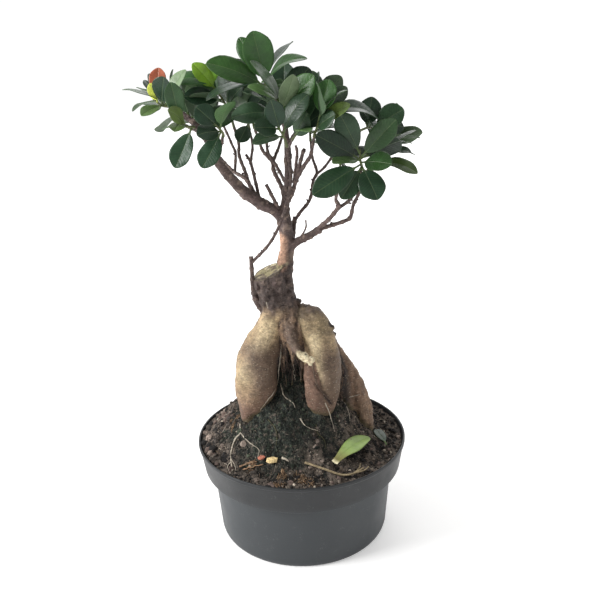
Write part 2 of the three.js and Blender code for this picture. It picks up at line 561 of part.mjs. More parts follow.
// A blade of even thickness with a pointed base and tip: two outlines and the rim between them
function leafSolid(leaf) {
  const frame = leafFrame(leaf);
  const points = LEAF_STATIONS.flatMap((share) => {
    const middle = leafPoint(leaf, frame, share);
    const wide = share > PETIOLE_SHARE ? halfWidth(leaf, share) : leaf.stalk ?? PETIOLE_HALF_WIDTH;
    const edges = [add(middle, frame.side, wide), add(middle, frame.side, -wide)];
    return share === 0 || share === 1 ? [middle] : edges;
  });
  const last = points.length - 1;
  const sheet = [[0, 2, 1], [last - 2, last - 1, last]];
  for (let a = 1; a + 3 < last; a += 2) {
    sheet.push([a, a + 1, a + 3], [a, a + 3, a + 2]);
  }
  const inner = points.map((_, i) => i).slice(1, last);
  const right = inner.filter((i) => i % 2 === 0);
  const left = inner.filter((i) => i % 2 === 1);
  const rim = [0, ...right, last, ...left.toReversed()];
  const below = points.length;
  const faces = sheet.flatMap(([a, b, c]) => [a, b, c, a + below, c + below, b + below]);
  rim.forEach((from, i) => {
    const to = rim[(i + 1) % rim.length];
    faces.push(from, from + below, to + below, from, to + below, to);
  });
  const layer = (way) => points.flatMap((p) => add(p, frame.normal, (way * LEAF_THICKNESS) / 2));
  const geometry = new THREE.BufferGeometry();
  geometry.setAttribute("position", new THREE.Float32BufferAttribute([...layer(1), ...layer(-1)], 3));
  geometry.setIndex(faces);
  return solid(geometry);
}

// Shortest distance between two straight lines of limited length
function lineGap([p1, q1], [p2, q2]) {
  const d1 = subtract(q1, p1);
  const d2 = subtract(q2, p2);
  const r = subtract(p1, p2);
  const a = dot(d1, d1);
  const e = dot(d2, d2);
  const b = dot(d1, d2);
  const c = dot(d1, r);
  const f = dot(d2, r);
  const clamp = (v) => Math.min(1, Math.max(0, v));
  const det = a * e - b * b;
  let s = det > 1e-9 ? clamp((b * f - c * e) / det) : 0;
  let t = e > 1e-9 ? (b * s + f) / e : 0;
  if (t < 0 || t > 1) {
    t = clamp(t);
    s = a > 1e-9 ? clamp((b * t - c) / a) : 0;
  }
  return length(subtract(add(p1, d1, s), add(p2, d2, t)));
}

function narrowestGap(lines, others) {
  return Math.min(...lines.flatMap((line) => others.map((other) => lineGap(line, other))));
}

function middleOf(lines) {
  return scale(lines.flat().reduce((sum, p) => add(sum, p)), 1 / (2 * lines.length));
}

// The green stem of a shoot, from just past the end of its twig
function shootStem(shoot) {
  const twig = LIMBS[shoot.twig];
  const end = twig[twig.length - 1].slice(0, 3);
  const direction = unit(subtract(end, twig[twig.length - 2].slice(0, 3)));
  return { direction, points: [add(end, direction, GAP), add(end, direction, 2), ...shoot.path] };
}

function pointOnStem(points, share) {
  const steps = points.slice(1).map((p, i) => length(subtract(p, points[i])));
  let left = share * steps.reduce((sum, step) => sum + step, 0);
  for (let i = 0; i < steps.length; i += 1) {
    if (left <= steps[i] || i === steps.length - 1) {
      const direction = unit(subtract(points[i + 1], points[i]));
      return { at: add(points[i], direction, Math.min(left, steps[i])), direction };
    }
    left -= steps[i];
  }
}

// Places that the tip of a seen leaf tries until the leaf is clear: moved the way it faces and sideways
const TIP_MOVES = [0, 3, -3, 6, -6, 9, -9, 12, -12].flatMap((push) => [[push, 0], [push, 3], [push, -3]]);

function seenLeafTries(stem, [share, tip, width, facing, arch, kind]) {
  const base = pointOnStem(stem.points, 0.08 + 0.88 * share).at;
  const leaf = { base, tip, width, facing, arch, kind };
  const { normal, side } = leafFrame(leaf);
  return TIP_MOVES.map(([push, slide]) => ({ ...leaf, tip: add(add(tip, normal, push), side, slide) }));
}

// Grown leaves stand round the stem at the golden angle and lean up and out of the crown
function grownLeafTries(stem, index, count, random) {
  const { at, direction } = pointOnStem(stem.points, 0.3 + (0.66 * (index + 0.5)) / count);
  const outward = unit(subtract(at, CROWN_CENTRE));
  const side = across(Math.abs(direction[2]) > 0.9 ? [1, 0, 0] : [0, 0, 1], direction);
  const other = cross(direction, side);
  const turn = index * GOLDEN_ANGLE + random() * 0.6;
  const size = 29 + 9 * random();
  const lean = 1.15 - (0.55 * index) / count + 0.2 * random();
  const tilt = random() - 0.5;
  const arch = 0.03 + 0.08 * random();
  const kind = GROWN_KINDS[Math.floor(random() * GROWN_KINDS.length)];
  return [0, 0.7, -0.7, 1.4, -1.4, 2.1, -2.1, 2.8].map((extra, tries) => {
    const angle = turn + extra;
    const round = add(scale(side, Math.cos(angle)), other, Math.sin(angle));
    const leaning = add(scale(direction, Math.cos(lean)), round, Math.sin(lean));
    const way = unit(add(add(leaning, outward, 0.35), [0, 0, 1], 0.15));
    const long = size * (tries < 4 ? 1 : 0.8);
    const facing = add(add([0, 0, 0.8], outward, 0.5), side, tilt);
    return { base: at, tip: add(at, way, long), width: long * 0.53, facing, arch, kind };
  });
}

// Each leaf takes its first turn that is clear of the leaves, twigs and stems already there
function placeLeaves() {
  const blocked = [];
  const block = (lines, room, shoot) => {
    const middle = middleOf(lines);
    const reach = Math.max(...lines.flat().map((p) => length(subtract(p, middle))));
    blocked.push({ lines, room, shoot, middle, reach });
  };
  const pieces = { ...LIMBS, TRUNK };
  for (const points of Object.values(pieces)) {
    for (let i = 0; i + 1 < points.length; i += 1) {
      block([[points[i].slice(0, 3), points[i + 1].slice(0, 3)]], points[i][3] + CLEAR_OF_TWIGS, "");
    }
  }
  const stems = SHOOTS.map(shootStem);
  SHOOTS.forEach((shoot, s) => {
    const { points } = stems[s];
    for (let i = 0; i + 1 < points.length; i += 1) {
      block([[points[i], points[i + 1]]], SHOOT_RADIUS + CLEAR_OF_TWIGS, shoot.name);
    }
  });
  const leaves = SHOOTS.map(() => []);
  const place = (tries, s) => {
    const { name } = SHOOTS[s];
    for (const leaf of tries) {
      const lines = bladeLines(leaf);
      const middle = middleOf(lines);
      const reach = Math.max(...lines.flat().map((p) => length(subtract(p, middle))));
      const clear = blocked.every((piece) => {
        const own = piece.shoot === name;
        const room = own ? CLEAR_OF_OWN_SHOOT : piece.room;
        const far = length(subtract(piece.middle, middle)) > piece.reach + reach + room;
        return far || narrowestGap(own ? lines.slice(LINES_NEAR_STEM) : lines, piece.lines) > room;
      });
      if (clear) {
        leaves[s].push(leaf);
        block(lines, CLEAR_OF_OTHER_SHOOTS, name);
        return;
      }
    }
  };
  SHOOTS.forEach((shoot, s) => shoot.leaves.forEach((row) => place(seenLeafTries(stems[s], row), s)));
  SHOOTS.forEach((shoot, s) => {
    const random = seeded(100 + s);
    for (let index = 0; index < shoot.more; index += 1) {
      place(grownLeafTries(stems[s], index, shoot.more, random), s);
    }
  });
  return SHOOTS.map((shoot, s) => ({ name: shoot.name, stem: stems[s], leaves: leaves[s] }));
}

function sprayGeometry({ stem, leaves }) {
  const taper = (BUD_RADIUS - SHOOT_RADIUS) / (stem.points.length - 1);
  const rod = stem.points.map((p, i) => [...p, SHOOT_RADIUS + taper * i]);
  const green = solid(loft(rod, TWIG_SIDES, { startDirection: stem.direction }));
  return geometryOf(largestBody(joined([green, ...leaves.map(leafSolid)])));
}

// A piece that lies on the soil starts a little under its surface and is raised until it is clear
function restOnSoil(body, soil) {
  let lift = 0;
  while (soil.intersect(body.translate([0, 0, lift])).volume() > 0) {
    lift += GAP / 2;
  }
  return geometryOf(body.translate([0, 0, lift + GAP]));
}

function fallenLeafSolid({ base, tip, rise, width, arch, stalk }) {
  const level = soilHeight(...base) - 2;
  const lying = { base: [...base, level], tip: [...tip, level + rise], facing: [0.1, -0.2, 1] };
  return leafSolid({ ...lying, width, arch, stalk });
}

function fallenTwigSolid() {
  return solid(loft(FALLEN_TWIG.map(([x, y, r]) => [x, y, soilHeight(x, y) - 1, r]), TWIG_SIDES));
}

function chipSolid({ at, size, turn }) {
  const chip = new THREE.CylinderGeometry(0.5, 0.42, 1, 7);
  chip.rotateX(Math.PI / 2);
  chip.scale(...size);
  chip.rotateZ(THREE.MathUtils.degToRad(turn));
  chip.translate(at[0], at[1], soilHeight(...at) - 1);
  return solid(chip);
}

function piece(name, geometry, colour, roughness) {
  const material = new THREE.MeshStandardMaterial({ color: colour, roughness, metalness: 0 });
  const mesh = new THREE.Mesh(geometry, material);
  mesh.name = name;
  return mesh;
}

const soil = soilSolid(rootLofts(GAP));
const group = new THREE.Group();
group.add(piece("pot", potGeometry(), 0x43474a, 0.45));
group.add(piece("soil", geometryOf(soil), 0x3a2c24, 0.95));
group.add(piece("roots_and_branches", woodGeometry(), 0x92775f, 0.8));
for (const spray of placeLeaves()) {
  group.add(piece(`spray_${spray.name}`, sprayGeometry(spray), 0x2f5233, 0.35));
}
for (const [name, leaf] of Object.entries(FALLEN_LEAVES)) {
  group.add(piece(name, restOnSoil(fallenLeafSolid(leaf), soil), 0x8fae5a, 0.6));
}
group.add(piece("fallen_twig", restOnSoil(fallenTwigSolid(), soil), 0x9b8a74, 0.85));
for (const [name, chip] of Object.entries(BARK_CHIPS)) {
  group.add(piece(name, restOnSoil(chipSolid(chip), soil), 0xc9a679, 0.85));
}

export default group;
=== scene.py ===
# Ficus ginseng bonsai in its nursery pot: the look of every surface.
# Measures are in millimetres in the frame of the CAD, and become metres where a mesh is made.
import math

import bmesh
import bpy
import numpy as np
from mathutils import Matrix, Vector, kdtree, noise


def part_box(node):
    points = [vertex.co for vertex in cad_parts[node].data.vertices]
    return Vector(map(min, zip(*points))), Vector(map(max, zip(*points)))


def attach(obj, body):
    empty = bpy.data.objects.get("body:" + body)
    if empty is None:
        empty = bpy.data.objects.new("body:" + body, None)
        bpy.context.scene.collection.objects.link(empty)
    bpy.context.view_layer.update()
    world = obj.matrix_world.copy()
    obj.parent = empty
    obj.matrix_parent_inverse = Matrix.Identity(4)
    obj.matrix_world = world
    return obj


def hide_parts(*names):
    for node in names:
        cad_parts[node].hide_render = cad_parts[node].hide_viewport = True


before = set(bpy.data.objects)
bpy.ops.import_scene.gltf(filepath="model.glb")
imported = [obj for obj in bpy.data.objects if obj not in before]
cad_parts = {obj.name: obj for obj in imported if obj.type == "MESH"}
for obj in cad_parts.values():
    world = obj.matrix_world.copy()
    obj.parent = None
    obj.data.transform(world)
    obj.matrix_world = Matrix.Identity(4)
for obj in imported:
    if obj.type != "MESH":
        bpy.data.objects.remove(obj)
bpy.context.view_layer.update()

# A millimetre in metres, and the angles that random draws are measured in
MM = 0.001
FULL_TURN = 6.2832
ABOUT_A_TURN = 6.28

# Where the photograph was taken from, in millimetres and degrees, and how its picture is framed
CAMERA_PLACE = (2.4, -519.4, 366)
CAMERA_DOWN = 18
CAMERA_ROLL = -1.7
LENS = 42
SENSOR_WIDTH = 36
PICTURE_SIZE = 600
PICTURE_SHIFT = (-0.5, -3)

# Lamps: name, place in metres, width in metres and power in watts
LAMP_AIM = (0, 0, 0.2)
LAMPS = [
    ("key", (-1.4, -0.42, 0.95), 0.7, 30),
    ("fill", (1.1, -0.9, 0.7), 1.2, 2),
    ("back", (0.2, 1.2, 1.2), 1.2, 6),
]
FLOOR_REACH = 5000

# Light of the room: the two directions between which it grows, and its power at each
ROOM_LIGHT = (-0.35, 0.25, 0.38, 1.04)

# Pot, soil and cut, as in the CAD. The frame gives the pot's reach and height, and the soil's floor
POT_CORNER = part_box("pot")[1]
POT_RIM_RADIUS = round(POT_CORNER[0] / MM, 2)
POT_HEIGHT = round(POT_CORNER[2] / MM, 2)
POT_BASE_RADIUS = 68.5
POT_WALL = 1.5
POT_FLOOR = 2
STEP_HEIGHT = 56.5
STEP_RADIUS = 74
BAND_RADIUS = 81
DRAIN_HOLES = 8
DRAIN_RADIUS = 4.5
DRAIN_RING = 48
DRAIN_SIDES = 28
POT_ROUNDING = 2.6
SHARP_FROM = 40
SOIL_RIM_LEVEL = 76.5
SOIL_MOUND = (46, 57, 4)
SOIL_CENTRE = (-6, 1)
SOIL_HEAP = (22, 18)
SOIL_HEAP_CENTRE = (-5, -3)
SOIL_EDGE = 82.5
SOIL_STEP = 0.9
SOIL_FLOOR = round(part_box("soil")[0][2] / MM, 2)
SOIL_RINGS_BELOW = [(0.1, SOIL_FLOOR), (66, SOIL_FLOOR), (68, 5), (72, 58), (79, 58.5), (82, 74)]
CUT_POINT = (-21, -4, 220.5)
CUT_NORMAL = (-0.37, -0.1, 0.92)

# Leaves, as in the CAD
GAP = 0.3
PETIOLE_SHARE = 0.16
SHOOT_RADIUS = 1.2
LIMB_SLIMMING = 0.86
BUD_RADIUS = 0.7
GOLDEN_ANGLE = math.radians(137.5)
CLEAR_OF_OTHER_SHOOTS = 2.4
CLEAR_OF_OWN_SHOOT = 1
CLEAR_OF_TWIGS = 1.5
CROWN_CENTRE = (-15, 5, 318)
GROWN_KINDS = ("dark", "dark", "mid", "green", "mid")
TIP_MOVES = [(push, slide) for push in (0, 3, -3, 6, -6, 9, -9, 12, -12) for slide in (0, 3, -3)]
LEAF_TURNS = (0, 0.7, -0.7, 1.4, -1.4, 2.1, -2.1, 2.8)
LINE_SHARES = (0.12, 0.22, 0.34, 0.46, 0.58, 0.7, 0.82, 0.93)
LINES_NEAR_STEM = 3

# Seeds of the random draws, one for each kind of small form
CRUMB_SEED = 11
TWIG_SEED = 23
THREAD_SEED = 31
FINE_ROOT_SEED = 41
LYING_SEED = 77
GROWN_LEAF_SEED = 100
SPRAY_SEED = 500

# How many small forms there are, and how many sides the round ones have
CLODS = 520
CRUMBS = 5200
FIBRES = 900
TUFT_FIBRES = 22
MOSS_TRIES = 9000
GAP_ROOTS = 14
SIDE_ROOTS = 12
POT_SIDES = 144
SOIL_SIDES = 440
ROOT_SIDES = 40
STUMP_SIDES = 48
STUB_SIDES = 16
TRUNK_SIDES = 24
TWIG_SIDES = 10
SPUR_SIDES = 7
THREAD_SIDES = 4
FINE_ROOT_SIDES = 6
STEM_SIDES = 8
DRY_TWIG_SIDES = 9
SPUR_SHARE = 0.07

# How the skin of the swollen roots is made
THICK_LIMBS = ("big_left", "leader", "right_main")
PART_BLEND = 2.5
ROOTS_END = (184, 197)
NECK_START = (182, 195)
NECK_END = (224, 236)
TRUNK_START = (222, 238)
CUT_REACH = (19, 16)
SKIN_SHRINK = 0.4
SKIN_VOXEL = 0.83
SMOOTHING_ROUNDS = 2

# Blades: rows along, places across, thickness either side, and how deep lying pieces sit in the soil
BLADE_STEPS = 14
ACROSS = (-1, -0.86, -0.62, -0.34, -0.1, 0, 0.1, 0.34, 0.62, 0.86, 1)
BLADE_THICKNESS = 0.22
LYING_THICKNESS = 0.35
LYING_GAP = -0.3

# Tones at the foot of a leaf: the shares of its length between which each comes in, the tone, how much
STALK_FOOT = [(0.22, 0.12, (96, 112, 62), 0.6)]
WITHERED_FOOT = [(0.4, 0.05, (120, 96, 66), 0.7), (0.06, 0.02, (226, 214, 176), 1)]

ROOTS = {
    "left_tuber": [
        (-17, -3, 200, 9), (-19, -6, 190, 9), (-21, -8, 181, 9.6), (-24, -10, 172, 11.6),
        (-28, -12, 163, 14.2), (-32, -14, 151, 16), (-34, -15.5, 138, 16.3), (-35.2, -17, 127, 15.3),
        (-36.6, -18.5, 117, 12.8), (-38, -19.5, 109.5, 10.8), (-38.6, -20, 103.5, 9.4), (-40, -21, 84, 6.5),
    ],
    "centre_tuber": [
        (-5, -4, 184, 8.5), (3, -6, 184, 9), (9.6, -9, 181.5, 10.6), (13.8, -12, 174, 11.8),
        (16.3, -15.5, 164.5, 12.4), (18, -18.5, 153, 13.6), (18.3, -21, 141, 13.8), (17.8, -23, 130, 13.2),
        (17.2, -24.5, 122.5, 12), (16.8, -26, 115.5, 10), (16.6, -27, 110, 7.8), (16.5, -28, 90, 4),
    ],
    "front_lobe": [
        (8, -27, 152, 4.6), (9.3, -29.5, 143, 6.2), (10.6, -30.5, 134, 7.2), (12, -31, 125, 7.2),
        (13.6, -31, 117, 6.2), (15, -30, 110.5, 4.6), (16, -29, 96, 2.6),
    ],
    "right_root": [
        (12, 3, 176, 7.5), (19, 3, 163, 7.5), (27, 2.5, 151, 7), (34.5, 1.5, 141, 6.6),
        (40.3, 0, 131.5, 6.4), (45, -2, 121.3, 6.6), (48, -4, 112, 7.1), (50, -6, 103, 7.6),
        (51.2, -7.5, 94.5, 7.8), (52, -8, 87, 7.4), (53, -9, 68, 5),
    ],
    "side_root": [
        (18, 2, 170, 6), (23, 1, 156, 6.5), (29, -1, 142, 6.5), (34, -3, 128, 6.5), (38, -5, 114, 6),
        (40, -7, 101, 5), (41, -8, 84, 3),
    ],
    "middle_root": [
        (-9, -4, 195, 8.6), (-5.5, -9, 182, 8.2), (-3, -13, 170, 7), (0, -14, 158, 5.5),
        (3, -13, 146, 4.2), (5, -11, 134, 3.4), (6, -9, 116, 2.6),
    ],
    "back_root": [
        (-8, 4, 188, 9), (-8.5, 12, 176, 11.5), (-10, 19, 160, 13.5), (-11, 24, 146, 15),
        (-11, 28, 132, 14), (-9, 31, 118, 11), (-7, 33, 106, 7), (-6, 34, 86, 3.6),
    ],
    "back_left_root": [
        (-14, 4, 186, 9), (-24, 12, 170, 9.5), (-31, 18, 154, 9.8), (-35, 23, 138, 8.8),
        (-38, 27, 122, 7), (-40, 30, 106, 5), (-41, 31, 86, 3.2),
    ],
}

STUMP = [
    (-13, -3, 186, 13.4), (-16.5, -3, 197, 14), (-19, -3.5, 206, 13.6), (-20.5, -3.5, 214, 12.8),
    (-21, -4, 240, 12.4),
]

ROOT_STUB = [
    (-8, -12, 184, 4), (-6, -19, 174, 4.2), (-3, -26, 167, 4), (1, -32, 162.5, 3.2), (4, -35.5, 161.5, 3.4),
    (6.4, -37.6, 160.2, 2.6), (8, -38.4, 159.8, 3.6), (10.8, -39.5, 158.8, 3.6),
]

TRUNK = [
    (-12, -4, 198, 8.6), (-11.5, -4.5, 209, 7.4), (-10.6, -3.5, 217, 6.2), (-9, -2, 224, 5.2),
    (-7.5, -1, 233, 4.8), (-6.5, -1, 243, 5), (-7.5, -1, 254, 4.8), (-8.5, -1.5, 264, 4.2),
]

LIMBS = {
    "big_left": [
        (-8, -1, 258, 4.4), (-14, -3, 266, 4.4), (-24, -6, 272, 4.3), (-36, -10, 282, 4.1),
        (-45, -14, 293, 3.8), (-52, -17, 303, 3.4), (-55, -19, 312, 3), (-60, -20, 322, 2.7),
        (-65, -20, 330, 2.5), (-75, -17, 338, 2), (-84, -13, 343, 1.5),
    ],
    "leader": [
        (-8, -1.5, 260, 4.1), (-7, -2, 272, 3.3), (-4, -1, 289, 2.9), (-4, 0, 302, 2.6),
        (-4, 1, 314, 2.4), (-5, 2, 324, 2.2), (-6, 2, 339, 1.8), (-11, 1, 348, 1.5), (-16, 0, 353, 1.3),
    ],
    "left_low": [(-54, -19, 310, 1.6), (-50, -22, 317, 1.5), (-48, -25, 323, 1.3)],
    "left_hang": [(-63, -20, 328, 1.6), (-67, -24, 330, 1.3)],
    "far_left_back": [(-62, -20, 326, 1.8), (-70, -10, 328, 1.6), (-78, 4, 330, 1.4), (-83, 16, 333, 1.2)],
    "front_right": [
        (-7, -2, 268, 2.2), (-4, -5, 275, 2.1), (-1, -9, 281, 2), (2, -14, 291, 1.9),
        (7, -19, 300, 1.8), (12, -23, 308, 1.6), (14, -27, 316, 1.4), (15, -30, 322, 1.2),
    ],
    "front_stub_a": [(2, -14, 292, 1.7), (6, -20, 307, 1.7), (8, -24, 313, 1.7)],
    "front_stub_b": [(0, -11, 288, 1.4), (3, -14, 309, 1.3), (2, -14, 315, 1.1)],
    "back_left_a": [
        (-7, -1, 268, 2.2), (-9, 7, 281, 2), (-15, 13, 294, 1.9), (-16, 17, 300, 1.7),
        (-23, 22, 308, 1.5), (-26, 27, 316, 1.3), (-29, 32, 324, 1.2),
    ],
    "back_left_b": [(-5, 0, 284, 1.6), (-13, 12, 298, 1.5), (-19, 20, 307, 1.4), (-20, 27, 315, 1.2)],
    "back_far": [(-16, 17, 299, 1.6), (-12, 30, 307, 1.5), (-8, 42, 317, 1.3), (-6, 50, 325, 1.2)],
    "back_high": [(-4, 1, 312, 1.7), (1, 11, 320, 1.6), (7, 21, 326, 1.4), (12, 29, 331, 1.2)],
    "mid_left_a": [
        (-22, -5, 271, 1.9), (-26, -5, 276, 1.9), (-32, -2, 284, 1.8), (-36, 2, 296, 1.6),
        (-40, 7, 307, 1.5), (-40, 10, 315, 1.3), (-43, 14, 326, 1.2),
    ],
    "mid_left_b": [(-26, -5, 277, 1.6), (-30, 4, 295, 1.5), (-32, 7, 302, 1.4), (-35, 9, 307, 1.3)],
    "mid_left_c": [(-32, 6, 300, 1.3), (-30, 12, 313, 1.2), (-32, 18, 324, 1.1)],
    "long_left": [
        (-28, -5, 278, 1.8), (-35, -2, 290, 1.7), (-45, 8, 295, 1.6), (-55, 17, 304, 1.4),
        (-63, 26, 312, 1.3), (-70, 33, 322, 1.2),
    ],
    "long_left_b": [(-44, 7, 294, 1.4), (-43, 12, 307, 1.3), (-46, 16, 315, 1.2), (-52, 20, 329, 1.1)],
    "dead_stub": [(-11, -3, 265, 1.7), (-14, -6, 273, 1.7), (-20, -10, 287, 1.6)],
    "dark_stub": [(-5, -1, 238, 2), (-2, 2, 245, 2.1), (-1, 5, 253, 2.2), (0, 8, 259, 2.4)],
    "back_right": [
        (0, 7, 257, 1.6), (4, 10, 262, 1.7), (10, 14, 268, 1.6), (13, 18, 274, 1.6),
        (15, 23, 284, 1.5), (18, 27, 290, 1.5), (15, 34, 300, 1.3), (14, 42, 312, 1.2),
    ],
    "back_right_b": [
        (17, 26, 288, 1.3), (24, 30, 293, 1.3), (30, 34, 300, 1.3), (37, 36, 308, 1.2),
        (44, 26, 315, 1.1), (50, 14, 321, 1),
    ],
    "right_main": [
        (-8, -1, 231, 3.4), (-4, -2, 237, 3.3), (0, -4, 242, 3), (11, -7, 248, 2.8), (19, -9, 253.5, 2.6),
    ],
    "right_up": [
        (16, -8, 252, 2.2), (26, -13, 262, 2.1), (32, -17, 271, 2), (30, -19, 276, 1.6),
        (31, -22, 284, 1.4), (33, -26, 293, 1.2),
    ],
    "right_up_b": [
        (31, -16, 269, 1.8), (37, -17, 273, 1.6), (42, -18, 278, 1.5), (46, -20, 289, 1.4),
        (48, -22, 297, 1.2),
    ],
    "right_out": [
        (16, -8, 252, 2.2), (30, -8, 256, 2), (40, -6, 259, 1.9), (42, -5, 262, 1.9),
        (44, -3, 270, 1.6), (47, -1, 275, 1.5), (54, 3, 286, 1.3), (60, 6, 295, 1.2),
    ],
    "right_back": [(44, -3, 269, 1.5), (51, 9, 280, 1.4), (57, 22, 291, 1.3), (61, 32, 299, 1.2)],
    "right_tendril": [(0, -4, 242, 1.1), (6, -8, 250, 0.9), (8, -9, 255, 0.8), (8, -10, 260, 0.7)],
    "cross_twig": [
        (-34, -8, 228, 1.5), (-22, -9, 240, 1.5), (-14, -10, 252, 1.4), (-8, -11, 266, 1.4),
        (-5, -12, 277, 1.4), (-2, -14, 290, 1.3), (-3, -18, 305, 1.2), (-4, -24, 315, 1.1),
    ],
    "cut_shoot": [(-27, -6, 189, 3.4), (-31.5, -7.5, 198, 3.2), (-33.6, -8, 209, 2.3), (-34, -8, 233, 1.9)],
    "hub": [(-6, 2, 331, 1.5), (-7, -6, 333, 1.3), (-8, -12, 334, 1.2)],
    "low_hub": [(-4, 0, 309, 1.4), (-2, -8, 315, 1.2), (0, -14, 319, 1.1)],
}

